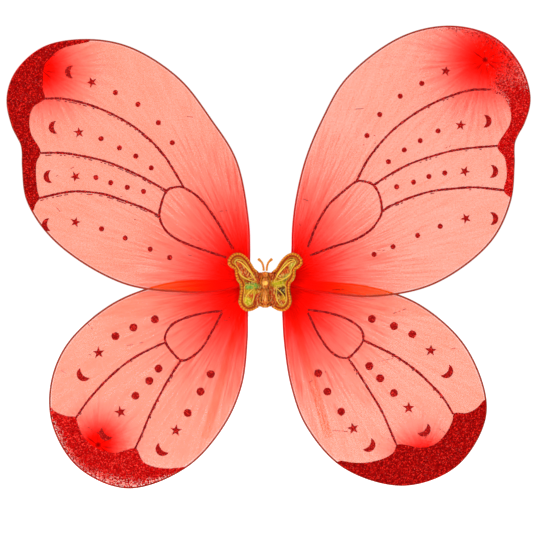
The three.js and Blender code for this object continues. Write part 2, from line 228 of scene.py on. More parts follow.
def tube_faces(rings: int, around: int, capped: bool = True, flipped: bool = False) -> Faces:
    """Joins rings of points into a tube.

    Args:
        rings: How many rings there are.
        around: Points in each ring.
        capped: Whether the ends are closed.
        flipped: Whether the faces run the other way round.

    Returns:
        The faces.
    """
    faces = []
    for i in range(rings - 1):
        for j in range(around):
            a, b = i * around + j, i * around + (j + 1) % around
            faces.append((a, a + around, b + around, b) if flipped else (a, b, b + around, a + around))
    if capped:
        first, last = tuple(range(around)), tuple(range((rings - 1) * around, rings * around))
        faces += [first, last[::-1]] if flipped else [first[::-1], last]
    return faces


def resample(line: np.ndarray, count: int) -> np.ndarray:
    """Spaces count points evenly along a line of points.

    Args:
        line: Points along the line.
        count: How many points to give.

    Returns:
        The new points.
    """
    steps = travelled(line)
    at = np.linspace(0, steps[-1], count)
    return np.stack([np.interp(at, steps, line[:, k]) for k in range(line.shape[1])], axis=1)


def smooth_line(points: list | np.ndarray, step: float) -> np.ndarray:
    """Runs a smooth curve through points and spaces new points about that step apart.

    Args:
        points: The points to run through.
        step: Distance between new points.

    Returns:
        The new points.
    """
    p = np.asarray(points, float)
    ends = np.vstack([2 * p[0] - p[1], p, 2 * p[-1] - p[-2]])
    t = np.linspace(0, 1, 12, endpoint=False)[:, None]
    spans = []
    for a, b, c, d in zip(ends, ends[1:], ends[2:], ends[3:]):
        cubic = (3 * b - a - 3 * c + d) * t**3
        spans.append(0.5 * (2 * b + (c - a) * t + (2 * a - 5 * b + 4 * c - d) * t**2 + cubic))
    line = np.vstack(spans + [p[-1:]])
    length = np.linalg.norm(np.diff(line, axis=0), axis=1).sum()
    return resample(line, max(3, round(length / step) + 1))


def sweep(
    line: np.ndarray,
    radius: float | np.ndarray,
    sides: int,
    lobes: int = 0,
    pitch: float = 1.0,
    depth: float = 0.0,
) -> Mesh:
    """Sweeps a round or a twisted, lobed section along a line.

    Args:
        line: Centre points in metres.
        radius: One radius, or one for each point.
        sides: Points round the section.
        lobes: Strands that the section shows, or 0 for a plain round.
        pitch: Length of one full twist.
        depth: How deep the grooves between strands are, as a share of the radius.

    Returns:
        Points, faces and a place in millimetres for each point.
    """
    count = len(line)
    radii = np.broadcast_to(np.asarray(radius, float), (count,))
    tangent = np.gradient(line, axis=0)
    tangent /= np.linalg.norm(tangent, axis=1)[:, None]
    start = np.cross(tangent[0], (0.31, 0.83, 0.47))
    normal = start / np.linalg.norm(start)
    reached = travelled(line)
    angle = np.linspace(0, TURN, sides, endpoint=False)
    verts, uv = [], []
    for i in range(count):
        normal = normal - tangent[i] * normal.dot(tangent[i])
        normal /= np.linalg.norm(normal)
        across = np.cross(tangent[i], normal)
        turn = angle * max(lobes, 1) + reached[i] / pitch * TURN * max(lobes, 1)
        r = radii[i] * (1 - depth * (0.5 - 0.5 * np.cos(turn)) if lobes else np.ones(sides))
        ring = np.outer(r * np.cos(angle), normal) + np.outer(r * np.sin(angle), across)
        verts.append(line[i] + ring)
        uv.append(np.stack([np.full(sides, reached[i] / MM), angle * radii[i] / MM], axis=1))
    return np.vstack(verts), tube_faces(count, sides), np.vstack(uv)


# ---- Shader helpers ----
class Graph:
    """Short calls that add and join the nodes of a material or of a node group."""

    def __init__(self, tree: bpy.types.NodeTree) -> None:
        """Works on that node tree."""
        self.tree = tree

    def feed(self, socket: Socket, value: Value) -> None:
        """Links a socket to another one, or sets its value."""
        if isinstance(value, Socket):
            self.tree.links.new(value, socket)
        else:
            socket.default_value = value

    def node(self, kind: str, settings: dict | None = None, **inputs: Value) -> bpy.types.Node:
        """Adds a node, with its settings, and feeds its named inputs.

        Args:
            kind: The node's kind, without ShaderNode.
            settings: Its settings by name.
            inputs: What to feed to its inputs, by name.

        Returns:
            The node.
        """
        made = self.tree.nodes.new("ShaderNode" + kind)
        for key, value in (settings or {}).items():
            setattr(made, key, value)
        for key, value in inputs.items():
            self.feed(made.inputs[key.replace("_", " ")], value)
        return made

    def calc(self, operation: str, a: Value, b: Value = 0.0, c: Value = 0.0, clamp: bool = False) -> Socket:
        """Adds a Math node.

        Args:
            operation: The node's operation.
            a: The first value.
            b: The second value.
            c: The third value.
            clamp: Whether the answer is kept from 0 to 1.

        Returns:
            The answer.
        """
        made = self.node("Math", {"operation": operation, "use_clamp": clamp})
        for socket, value in zip(made.inputs, (a, b, c)):
            self.feed(socket, value)
        return made.outputs[0]

    def times(self, a: Value, b: Value, clamp: bool = False) -> Socket:
        """One number times another."""
        return self.calc("MULTIPLY", a, b, clamp=clamp)

    def scaled(self, a: Value, by: Value, plus: Value) -> Socket:
        """A number times another, plus a third."""
        return self.calc("MULTIPLY_ADD", a, by, plus)

    def rest(self, a: Value, clamp: bool = False) -> Socket:
        """What is left of 1."""
        return self.calc("SUBTRACT", 1.0, a, clamp=clamp)

    def fall(self, reach: Value) -> Socket:
        """Climbs from 0 at no reach to 1 far off, along a bell curve."""
        return self.rest(self.calc("EXPONENT", self.times(self.times(reach, reach), -1.0)))

    def attribute(self, name: str) -> Socket:
        """A number that the mesh holds at each point."""
        return self.node("Attribute", {"attribute_name": name}).outputs["Fac"]

    def vector(self, operation: str, a: Value, b: Value = (0.0, 0.0, 0.0)) -> Socket:
        """Adds a Vector Math node, whose answer is a number for LENGTH and DOT_PRODUCT.

        Args:
            operation: The node's operation.
            a: The first value.
            b: The second value.

        Returns:
            The answer.
        """
        made = self.node("VectorMath", {"operation": operation})
        self.feed(made.inputs[0], a)
        self.feed(made.inputs[1], b)
        return made.outputs["Value" if operation in ("LENGTH", "DOT_PRODUCT") else "Vector"]

    def mix(self, factor: Value, a: Value, b: Value) -> Socket:
        """Adds a colour Mix node.

        Args:
            factor: The share of the second colour.
            a: The first colour.
            b: The second colour.

        Returns:
            The mixed colour.
        """
        made = self.tree.nodes.new("ShaderNodeMix")
        made.data_type = "RGBA"
        for index, value in ((0, factor), (6, a), (7, b)):
            value = (*value, 1.0) if isinstance(value, tuple) and len(value) == 3 else value
            self.feed(made.inputs[index], value)
        return made.outputs[2]

    def noise(self, place: Value, scale: float, detail: float = 2.0, roughness: float = 0.5) -> Socket:
        """Adds a Noise Texture and gives its strength."""
        made = self.node("TexNoise", None, Vector=place, Scale=scale, Detail=detail, Roughness=roughness)
        return made.outputs[0]

    def ramp(self, factor: Value, stops: list[tuple[float, Colour]]) -> Socket:
        """Adds a Color Ramp with those stops.

        Args:
            factor: The place on the ramp.
            stops: Positions and colours.

        Returns:
            The colour.
        """
        made = self.node("ValToRGB", None, Fac=factor)
        elements = made.color_ramp.elements
        while len(elements) < len(stops):
            elements.new(0.5)
        for element, (position, colour) in zip(elements, stops):
            element.position = position
            element.color = (*colour, 1.0)
        return made.outputs[0]

    def between(self, value: Value, low: float, high: float) -> Socket:
        """Maps low to 0 and high to 1, with soft ends.

        Args:
            value: The value to map.
            low: What becomes 0.
            high: What becomes 1.

        Returns:
            The mapped value.
        """
        made = self.node("MapRange", {"interpolation_type": "SMOOTHSTEP"}, Value=value)
        made.inputs["From Min"].default_value = low
        made.inputs["From Max"].default_value = high
        return made.outputs[0]

    def place(self) -> Socket:
        """The pattern's place in millimetres."""
        return self.node("UVMap", {"uv_map": "pattern_mm"}).outputs[0]


def shared_group(
    name: str, inputs: dict[str, Value], outputs: dict[str, str], fill: Callable[[Graph, dict], list[Socket]]
) -> bpy.types.NodeTree:
    """Builds a node group once.

    Args:
        name: The group's name.
        inputs: Starting values by name: a number, three for a vector or four for a colour.
        outputs: Socket kinds by name.
        fill: Called with the graph and the inputs by name; returns the outputs' sockets in order.

    Returns:
        The node group.
    """
    if name in bpy.data.node_groups:
        return bpy.data.node_groups[name]
    tree = bpy.data.node_groups.new(name, "ShaderNodeTree")
    for label, value in inputs.items():
        kind = "Float" if isinstance(value, float) else {3: "Vector", 4: "Color"}[len(value)]
        socket = tree.interface.new_socket(name=label, in_out="INPUT", socket_type="NodeSocket" + kind)
        socket.default_value = value
    for label, kind in outputs.items():
        tree.interface.new_socket(name=label, in_out="OUTPUT", socket_type="NodeSocket" + kind)
    graph = Graph(tree)
    entry = tree.nodes.new("NodeGroupInput")
    leave = tree.nodes.new("NodeGroupOutput")
    for socket, value in zip(leave.inputs, fill(graph, entry.outputs)):
        graph.feed(socket, value)
    return tree


# The gathered nylon: how far it is solid round the root and the knot and how far the knot's folds reach, in
# millimetres; streaks round the root, round the knot and in its folds; and the reds of its painted shade in
# its creases, in its folds and at the tied knot.
SOLID_ROOT, SOLID_KNOT, FOLDS_END = 20.0, 6.0, 20.0
STREAKS_ROUND, STREAK_STRETCH = (22.0, 8.0, 1.5), 0.012
PAINTED_CREASE_SHADE, PAINTED_FOLD_SHADE, PAINTED_KNOT_SHADE = (0.38, 0.0, 0.0), (0.20, 0.0, 0.0), (0.12, 0.0, 0.0)


def gathered_nylon_group() -> bpy.types.NodeTree:
    """Sheer nylon that is bunched, and so denser, round its root and its knotted toe, with painted shade in
    its folds.

    Returns:
        The node group.
    """

    def fill(graph: Graph, given: dict) -> list[Socket]:
        """The colour with its painted shade, the cover and the height of the gathered nylon, from the group's
        inputs.

        Args:
            graph: The group's graph.
            given: The group's inputs by name.

        Returns:
            The sockets of the outputs, in order.
        """
        place = given["Place"]
        from_root = graph.vector("SUBTRACT", place, given["Root"])
        from_knot = graph.vector("SUBTRACT", place, given["Knot"])
        reach_root = graph.vector("LENGTH", from_root)
        reach_knot = graph.vector("LENGTH", from_knot)
        slow = graph.vector("DOT_PRODUCT", graph.vector("NORMALIZE", from_root), given["Dense Way"])
        spread = graph.scaled(graph.between(slow, 0.75, 1.0), given["Dense Extra"], given["Root Reach"])
        beyond = graph.calc("MAXIMUM", graph.calc("SUBTRACT", reach_root, SOLID_ROOT), 0.0)
        streaks = []
        ways = zip((from_root, from_knot, from_knot), (reach_root, reach_knot, reach_knot), STREAKS_ROUND)
        for offset, reach, turns in ways:
            axes = graph.node("SeparateXYZ", None, Vector=offset)
            angle = graph.calc("ARCTAN2", axes.outputs[1], axes.outputs[0])
            polar = graph.node("CombineXYZ")
            graph.feed(polar.inputs[0], graph.times(angle, turns))
            graph.feed(polar.inputs[1], graph.times(reach, STREAK_STRETCH))
            streaks.append(graph.noise(polar.outputs[0], 2.2, 7.0, 0.62))
        root_streak, knot_streak, knot_fold = streaks
        ratio = graph.calc("DIVIDE", beyond, spread)
        ratio = graph.times(ratio, graph.scaled(root_streak, 1.5, 0.25))
        thin_root = graph.fall(ratio)
        clear_of_knot = graph.calc("MAXIMUM", graph.calc("SUBTRACT", reach_knot, SOLID_KNOT), 0.0)
        near = graph.calc("DIVIDE", clear_of_knot, given["Knot Reach"])
        near = graph.times(near, graph.scaled(knot_streak, 1.3, 0.35))
        thin_knot = graph.fall(near)
        grain = graph.scaled(graph.noise(place, 0.6, 3.0, 0.8), 1.5, 0.25)
        lines = graph.scaled(root_streak, 0.7, 0.65)
        grain = graph.times(grain, lines)
        cloud = graph.scaled(graph.noise(place, 0.02, 4.0), 0.3, 0.85)
        thin = graph.times(thin_root, thin_knot)
        clear = graph.times(graph.calc("POWER", thin, 1.3), graph.times(grain, cloud))
        clear = graph.times(clear, given["Sheerness"])
        alpha = graph.rest(graph.calc("SQRT", clear, clamp=True), clamp=True)
        over_wire = graph.scaled(thin, 0.55, 0.45)
        over_wire = graph.times(given["Over Wire"], over_wire)
        alpha = graph.times(alpha, graph.scaled(over_wire, -0.7, 1.0))
        thinness = graph.calc("POWER", thin, 1.6)
        colour = graph.mix(thinness, given["Dense Colour"], given["Sheer Colour"])
        # Painted shade: the creases of the streaks darken where the cloth is dense.
        for streak, sparse in ((root_streak, thin_root), (knot_streak, thin_knot)):
            crease = graph.times(graph.between(streak, 0.52, 0.70), graph.rest(sparse))
            colour = graph.mix(graph.times(crease, 0.55), colour, PAINTED_CREASE_SHADE)
        # Painted shade: dark radial folds round the knot.
        close = graph.rest(graph.between(reach_knot, SOLID_KNOT, FOLDS_END))
        painted_fold_shade = graph.times(graph.between(knot_fold, 0.51, 0.62), graph.times(close, 0.8))
        colour = graph.mix(painted_fold_shade, colour, PAINTED_FOLD_SHADE)
        # Painted shade: a dark patch where the knot is tied.
        tied = graph.rest(graph.between(reach_knot, 0.8, 4.0))
        colour = graph.mix(graph.times(tied, 0.85), colour, PAINTED_KNOT_SHADE)
        height = graph.calc("ADD", graph.times(root_streak, 0.6), graph.times(knot_streak, 0.4))
        return [colour, alpha, height]

    inputs = {
        "Place": (0, 0, 0),
        "Root": (0, 0, 0),
        "Knot": (0, 0, 0),
        "Dense Way": (0, -1, 0),
        "Dense Extra": 0.0,
        "Root Reach": 62.0,
        "Knot Reach": 38.0,
        "Sheerness": 0.42,
        "Over Wire": 0.0,
        "Dense Colour": (0.9, 0.0, 0.0, 1),
        "Sheer Colour": (0.95, 0.05, 0.05, 1),
    }
    outputs = {"Colour": "Color", "Alpha": "Float", "Height": "Float"}
    return shared_group("gathered_nylon", inputs, outputs, fill)


def glitter_group() -> bpy.types.NodeTree:
    """Glitter flakes bound in coloured ink, each with its own tone and tilt, and a painted glint on the
    brightest.

    Returns:
        The node group.
    """

    def fill(graph: Graph, given: dict) -> list[Socket]:
        """The colour with painted glints, the mask, the normal and the glint share of the flakes, from the
        group's inputs.

        Args:
            graph: The group's graph.
            given: The group's inputs by name.

        Returns:
            The sockets of the outputs, in order.
        """
        flakes = graph.node("TexVoronoi", None, Vector=given["Place"], Scale=given["Flakes"])
        shade = graph.node("SeparateColor", None, Color=flakes.outputs["Color"])
        # Painted glint: the flakes with the highest random value take the glint colour.
        bright = graph.between(shade.outputs[0], 0.72, 1.0)
        ground = graph.mix(shade.outputs[1], given["Dark"], given["Middle"])
        colour = graph.mix(bright, ground, given["Bright"])
        patchy = graph.noise(given["Place"], 0.35, 5.0, 0.65)
        chance = graph.calc("ADD", graph.times(shade.outputs[2], 0.55), graph.times(patchy, 0.9))
        limit = graph.scaled(given["Coverage"], -1.25, 1.25)
        mask = graph.times(graph.calc("SUBTRACT", chance, limit), 8.0, clamp=True)
        lean = graph.vector("SUBTRACT", flakes.outputs["Color"], (0.5, 0.5, 0.5))
        lean = graph.vector("MULTIPLY", lean, (0.9, 0.9, 0.9))
        face = graph.node("NewGeometry").outputs["Normal"]
        normal = graph.vector("NORMALIZE", graph.vector("ADD", face, lean))
        return [colour, mask, normal, bright]

    inputs = {
        "Place": (0, 0, 0),
        "Flakes": 1.3,
        "Coverage": 1.0,
        "Dark": (0.1, 0, 0, 1),
        "Middle": (0.4, 0, 0, 1),
        "Bright": (1, 0.3, 0.2, 1),
    }
    outputs = {"Colour": "Color", "Mask": "Float", "Normal": "Vector", "Sparkle": "Float"}
    return shared_group("glitter_flakes", inputs, outputs, fill)


def thread_group() -> bpy.types.NodeTree:
    """Threads that cross at right angles, for cloth, braid, tape and wound thread.

    Returns:
        The node group.
    """

    def fill(graph: Graph, given: dict) -> list[Socket]:
        """The height of the threads and their painted shade, darker where they are lower, from the group's
        inputs.

        Args:
            graph: The group's graph.
            given: The group's inputs by name.

        Returns:
            The sockets of the outputs, in order.
        """
        axes = graph.node("SeparateXYZ", None, Vector=given["Place"])
        wander = graph.scaled(graph.noise(given["Place"], 0.9, 3.0), given["Wander"], 0.0)
        slanted = graph.scaled(axes.outputs[1], given["Slant"], axes.outputs[0])
        waves = []
        for along, pitch in ((slanted, given["Pitch Along"]), (axes.outputs[1], given["Pitch Across"])):
            turn = graph.times(graph.calc("DIVIDE", graph.calc("ADD", along, wander), pitch), TURN)
            waves.append(graph.scaled(graph.calc("SINE", turn), 0.5, 0.5))
        height = graph.times(waves[0], graph.scaled(waves[1], 0.6, 0.4))
        fluff = graph.noise(given["Place"], 4.0, 6.0, 0.7)
        height = graph.scaled(fluff, given["Fluff"], height)
        # Painted shade that follows the threads' height.
        shade = graph.scaled(height, 0.55, 0.55)
        return [height, shade]

    inputs = {
        "Place": (0, 0, 0),
        "Pitch Along": 0.8,
        "Pitch Across": 0.8,
        "Slant": 0.0,
        "Wander": 0.1,
        "Fluff": 0.3,
    }
    return shared_group("threads", inputs, {"Height": "Float", "Shade": "Float"}, fill)


# ---- Finishes ----
@dataclass(frozen=True)
class Finish:
    """What every finish has: a name and the shader's plain numbers."""

    name: str
    roughness: float = 0.6
    metallic: float = 0.0
    specular: float = 0.3
    coat: float = 0.0
    sheen: float = 0.0

    def start(self) -> tuple[bpy.types.Material, Graph, bpy.types.Node]:
        """Makes the material, its graph and its shader with the plain numbers set.

        Returns:
            The material, its graph and its shader.
        """
        material = bpy.data.materials.new(self.name)
        material.use_nodes = True
        shader = material.node_tree.nodes["Principled BSDF"]
        numbers = {
            "Roughness": self.roughness,
            "Metallic": self.metallic,
            "Specular IOR Level": self.specular,
            "Coat Weight": self.coat,
            "Sheen Weight": self.sheen,
        }
        self.set_inputs(shader, numbers)
        return material, Graph(material.node_tree), shader

    def set_inputs(self, node: bpy.types.Node, values: dict[str, Value]) -> None:
        """Sets a node's inputs by name."""
        for label, value in values.items():
            node.inputs[label].default_value = value

    def bump(self, graph: Graph, shader: bpy.types.Node, height: Socket, distance: float) -> None:
        """Raises the surface by height times distance, in metres."""
        raised = graph.node("Bump", None, Height=height, Distance=distance)
        graph.feed(shader.inputs["Normal"], raised.outputs[0])


@dataclass(frozen=True)
class NylonFinish(Finish):
    """Sheer red nylon, dense where it is gathered."""

    root: Pair = (0.0, 0.0)
    knot: Pair = (0.0, 0.0)
    knot_reach: float = 38.0
    dense_way: Pair = (0.0, -1.0)
    dense_extra: float = 20.0
    sheerness: float = 0.29
    dense: Colour = (0.89, 0.002, 0.0)
    sheer: Colour = (0.89, 0.115, 0.002)
    relief: float = 0.0006

    @cache
    def make(self) -> bpy.types.Material:
        """Builds the material.

        Returns:
            The material.
        """
        material, graph, shader = self.start()
        group = graph.node("Group", {"node_tree": gathered_nylon_group()}, Place=graph.place())
        numbers = {
            "Root": (*self.root, 0.0),
            "Knot": (*self.knot, 0.0),
            "Dense Way": (*self.dense_way, 0.0),
            "Dense Extra": self.dense_extra,
            "Knot Reach": self.knot_reach,
            "Sheerness": self.sheerness,
            "Dense Colour": (*self.dense, 1.0),
            "Sheer Colour": (*self.sheer, 1.0),
        }
        self.set_inputs(group, numbers)
        graph.feed(group.inputs["Over Wire"], graph.attribute("over_wire"))
        graph.feed(shader.inputs["Base Color"], group.outputs["Colour"])
        graph.feed(shader.inputs["Alpha"], group.outputs["Alpha"])
        self.bump(graph, shader, group.outputs["Height"], self.relief)
        return material


@dataclass(frozen=True)
class GlitterFinish(Finish):
    """Glitter ink, from a worn line to a dense field."""

    coverage: float = 1.0
    flakes: float = 1.3
    dark: Colour = (0.10, 0.0, 0.001)
    middle: Colour = (0.36, 0.002, 0.004)
    # The colour of the brightest flakes is a painted glint.
    bright: Colour = (1.0, 0.16, 0.10)

    @cache
    def make(self) -> bpy.types.Material:
        """Builds the material.

        Returns:
            The material.
        """
        material, graph, shader = self.start()
        place = graph.place()
        group = graph.node("Group", {"node_tree": glitter_group()}, Place=place, Flakes=self.flakes)
        for label in ("Dark", "Middle", "Bright"):
            group.inputs[label].default_value = (*getattr(self, label.lower()), 1.0)
        cover = graph.attribute("cover")
        graph.feed(group.inputs["Coverage"], graph.times(cover, self.coverage))
        graph.feed(shader.inputs["Base Color"], group.outputs["Colour"])
        graph.feed(shader.inputs["Alpha"], group.outputs["Mask"])
        graph.feed(shader.inputs["Normal"], group.outputs["Normal"])
        return material


@dataclass(frozen=True)
class ClothFinish(Finish):
    """Threads with painted shade in the grooves between them and a nap, and, where asked, painted shade in
    hollows and a painted highlight on crests.
    """

    # light is the colour of the thread tops, and shade is the painted shade in the grooves between them.
    light: Colour = (0.8, 0.8, 0.8)
    shade: Colour = (0.3, 0.3, 0.3)
    pitch: Pair = (0.8, 0.8)
    slant: float = 0.0
    wander: float = 0.1
    fluff: float = 0.3
    relief: float = 0.0002
    sheer: Pair | None = None
    # How strongly hollows take painted shade; when set, crests also take a painted highlight.
    cavity: float = 0.0

    @cache
    def make(self) -> bpy.types.Material:
        """Builds the material.

        Returns:
            The material.
        """
        material, graph, shader = self.start()
        place = graph.place()
        group = graph.node("Group", {"node_tree": thread_group()}, Place=place)
        numbers = {
            "Pitch Along": self.pitch[0],
            "Pitch Across": self.pitch[1],
            "Slant": self.slant,
            "Wander": self.wander,
            "Fluff": self.fluff,
        }
        self.set_inputs(group, numbers)
        # Painted shade: the lower parts of the threads take the shade colour.
        threads = graph.mix(group.outputs["Shade"], self.shade, self.light)
        worn = graph.between(graph.noise(place, 0.12, 5.0), 0.45, 0.8)
        faded = tuple(0.75 * c + 0.25 * s for c, s in zip(self.shade, self.light))
        colour = graph.mix(graph.times(worn, 0.4), threads, faded)
        # Painted shade in hollows and a painted highlight on crests, from the mesh's pointiness.
        if self.cavity:
            painted_hollow_shade = graph.between(graph.node("NewGeometry").outputs["Pointiness"], 0.54, 0.45)
            deep = tuple(0.25 * c for c in self.shade)
            colour = graph.mix(graph.times(painted_hollow_shade, self.cavity), colour, deep)
            painted_crest_highlight = graph.between(graph.node("NewGeometry").outputs["Pointiness"], 0.54, 0.60)
            painted_highlight_colour = tuple(min(1.0, 1.15 * c + 0.04 * k) for k, c in zip((1.0, 3.0, 1.0), self.light))
            colour = graph.mix(graph.times(painted_crest_highlight, 0.8), colour, painted_highlight_colour)
        graph.feed(shader.inputs["Base Color"], colour)
        if self.sheer:
            thin, thick = self.sheer
            graph.feed(shader.inputs["Alpha"], graph.scaled(group.outputs["Height"], thick - thin, thin))
        self.bump(graph, shader, group.outputs["Height"], self.relief)
        return material


@dataclass(frozen=True)
class WireFinish(Finish):
    """Lacquered steel wire, tarnished in patches."""

    lacquer: Colour = (0.17, 0.005, 0.007)
    bare: Colour = (0.20, 0.03, 0.03)

    @cache
    def make(self) -> bpy.types.Material:
        """Builds the material.

        Returns:
            The material.
        """
        material, graph, shader = self.start()
        place = graph.place()
        patches = graph.between(graph.noise(place, 0.25, 6.0, 0.6), 0.5, 0.75)
        graph.feed(shader.inputs["Base Color"], graph.mix(patches, self.lacquer, self.bare))
        graph.feed(shader.inputs["Roughness"], graph.scaled(patches, 0.25, self.roughness))
        self.bump(graph, shader, graph.noise(place, 2.0, 4.0), 0.0001)
        return material


WIRE = WireFinish("dark_red_lacquered_wire", roughness=0.42, metallic=0.0, specular=0.2)
RED_THREAD = ClothFinish(
    "wound_red_thread", light=(0.55, 0.01, 0.012), shade=(0.12, 0.0, 0.002), pitch=(0.35, 0.8), fluff=0.2
)
RIBBON = ClothFinish(
    "red_satin_ribbon", roughness=0.35, sheen=0.3, light=(0.72, 0.01, 0.012), shade=(0.4, 0.0, 0.004),
    pitch=(0.3, 0.3), fluff=0.05, relief=0.00005,
)
GLITTER_TIP = GlitterFinish(
    "glitter_tip", roughness=0.5, specular=0.02, flakes=1.1, dark=(0.11, 0.0, 0.0), middle=(0.38, 0.0, 0.0),
    bright=(0.85, 0.016, 0.010),
)
# A lit copy of the glitter tip: the same ink painted brighter, as painted light.
GLITTER_TIP_PAINTED_LIT = replace(
    GLITTER_TIP, name="glowing_glitter_tip", dark=(0.20, 0.0, 0.0), middle=(0.60, 0.001, 0.001),
    bright=(1.0, 0.04, 0.03),
)
GLITTER_LINE = GlitterFinish(
    "glitter_line", roughness=0.5, specular=0.05, coverage=0.74, flakes=1.25, bright=(0.8, 0.03, 0.02),
    dark=(0.10, 0.0, 0.001), middle=(0.30, 0.001, 0.003),
)
GLITTER_SHAPE = GlitterFinish(
    "glitter_shape", roughness=0.5, specular=0.05, coverage=0.86, flakes=1.3, dark=(0.16, 0.0, 0.0),
    middle=(0.38, 0.001, 0.001), bright=(0.85, 0.03, 0.02),
)
LOOSE_FLAKE = GlitterFinish(
    "loose_glitter", roughness=0.3, metallic=0.2, specular=0.2, flakes=0.9, dark=(0.16, 0.0, 0.001),
    middle=(0.6, 0.003, 0.003), bright=(1.0, 0.09, 0.06),
)


# ---- Wings ----
Row = tuple[tuple[Shape, float, float], ...]


@dataclass(frozen=True)
class Print:
    """What is printed on one wing, as X and Z in millimetres."""

    rows: tuple[Row, ...]
    veins: tuple[Places, ...]
    cell: Places
    tip_edge: Places
    dot_size: float
    star_size: float
    crescent_size: float
    ghost: Pair
    tip_coverage: float
    rim_coverage: float
    knot_reach: float
    sheerness: float
    # Whether the tip takes the brighter, painted-lit copy of the glitter.
    glow: bool = False
    worn_above: float = 1000.0
    slipped_share: float = 0.12


def dots(*places: Pair) -> Row:
    """A dot at each place."""
    return tuple((Shape.DOT, x, z) for x, z in places)


def row(crescent: Pair, star: Pair, *places: Pair) -> Row:
    """A row of shapes: a crescent, a star, and a dot at each place that is left."""
    return (Shape.CRESCENT, *crescent), (Shape.STAR, *star), *dots(*places)


UPPER_LEFT = Print(
    rows=(
        row((-191, 206), (-171, 196), (-148, 186), (-126, 174.5), (-106, 156.5), (-92.5, 137)),
        row((-207, 152), (-183.5, 147), (-162, 141), (-144, 132), (-128, 124), (-113, 112.5)),
        row((-212, 104), (-187, 104), (-167, 103), (-152.5, 98), (-136.5, 93.5), (-120.5, 89.5)),
        row((-213.5, 57), (-187, 59.5), (-161.5, 53), (-138.5, 44), (-114, 33), (-95, 25)),
    ),
    veins=(
        (
            (-218, 180), (-200, 180), (-180, 176), (-160, 169),
            (-140, 159), (-120, 145), (-100, 124), (-81, 93),
        ),
        ((-221, 127), (-200, 127), (-180, 124), (-160, 119.5), (-140, 112), (-120, 102.5), (-98, 90)),
        ((-224, 82.5), (-200, 88), (-183, 89.5), (-160, 87), (-140, 80.5), (-120, 73), (-105, 65.5)),
    ),
    cell=(
        (-33, 33), (-40, 45), (-50, 62), (-65, 82), (-81, 93), (-90, 93.5), (-98, 90), (-103, 78), (-105, 65),
        (-100, 53), (-90, 44), (-75, 37), (-55, 30), (-40, 25),
    ),
    tip_edge=(
        (-172, 236), (-200, 229), (-213, 218), (-218, 210), (-219, 190), (-217, 180), (-228, 172),
        (-232, 160), (-230, 145), (-221, 129), (-225, 118), (-225.5, 105),
        (-224, 90), (-222, 83), (-226, 77), (-228, 70),
    ),
    dot_size=5.2, star_size=10.2, crescent_size=12.5, ghost=(0.6, -2.4), tip_coverage=1.5, rim_coverage=1.4,
    knot_reach=36, sheerness=0.27, slipped_share=0.5,
)
UPPER_RIGHT = Print(
    rows=(
        ((Shape.STAR, 174.5, 207), *dots((151, 195), (130, 182.5), (110, 164.5), (97.5, 144))),
        row((213, 158), (189, 154), (167, 148.5), (149.5, 139), (134, 130), (118.5, 118.5)),
        row((219.5, 109), (193, 109), (173.5, 107.5), (158, 104), (143, 98.5), (126.5, 94)),
        row((219.5, 63), (194, 63), (169, 55.5), (147, 46.5), (123, 35.5), (104.5, 28)),
    ),
    veins=(
        (
            (219, 189), (200, 188.5), (180, 183), (160, 174.5),
            (140, 162.5), (120, 146.5), (100, 123), (87, 99),
        ),
        ((226, 134), (200, 132), (180, 129), (160, 123.5), (140, 116.5), (120, 106), (104, 95.5)),
        ((232, 90.5), (215, 92.5), (200, 93.5), (180, 92), (160, 89.5), (140, 83.5), (120, 75), (112, 69.5)),
    ),
    cell=(
        (40, 35), (48, 56), (60, 76), (74, 89), (87, 99), (96, 99), (104, 95.5), (110, 85), (112, 69.5),
        (107, 59), (100, 51), (85, 42), (65, 35.5), (42, 27),
    ),
    tip_edge=(
        (157, 248), (190, 240), (206, 227), (213, 214), (218, 189), (230, 182), (237, 170), (237, 155),
        (225, 134), (232, 122), (234, 105), (231, 91), (236, 84),
    ),
    dot_size=5.2, star_size=10.2, crescent_size=12.5, ghost=(-0.6, -2.4), tip_coverage=1.15, rim_coverage=1.0,
    knot_reach=44, sheerness=0.305, glow=True, worn_above=160,
)
LOWER_LEFT = Print(
    rows=(
        row((-179, -89), (-164.5, -68), (-148, -52), (-130.5, -43.5), (-109.5, -35.5)),
        row((-157, -147), (-143, -126), (-128.5, -110), (-115, -95.5), (-106, -83.5)),
        row((-102, -162), (-89, -144), (-77.5, -127), (-65, -106), (-55, -89)),
    ),
    veins=(
        ((-187, -132), (-175, -115), (-160, -98), (-145, -84), (-130, -73), (-110, -62.5), (-99, -58)),
        ((-129, -162), (-122, -147), (-115, -130), (-105, -110), (-95, -92), (-84, -75.5)),
    ),
    cell=(
        (-43, -27), (-60, -29), (-78, -33.5), (-92, -40), (-99, -50), (-99, -58), (-93, -67), (-84, -75.5),
        (-75, -73), (-65, -65), (-57, -53), (-44, -29),
    ),
    tip_edge=(
        (-212, -120), (-206, -126), (-195, -130), (-187, -131), (-184, -140), (-178, -152), (-165, -162),
        (-150, -166), (-138, -163), (-129, -161), (-126, -164), (-122, -173), (-115, -178), (-100, -181),
        (-85, -180), (-77, -178),
    ),
    dot_size=8.0, star_size=11.5, crescent_size=14.0, ghost=(1.2, -1.4), tip_coverage=0.98, rim_coverage=0.38,
    knot_reach=25, sheerness=0.22, glow=True,
)
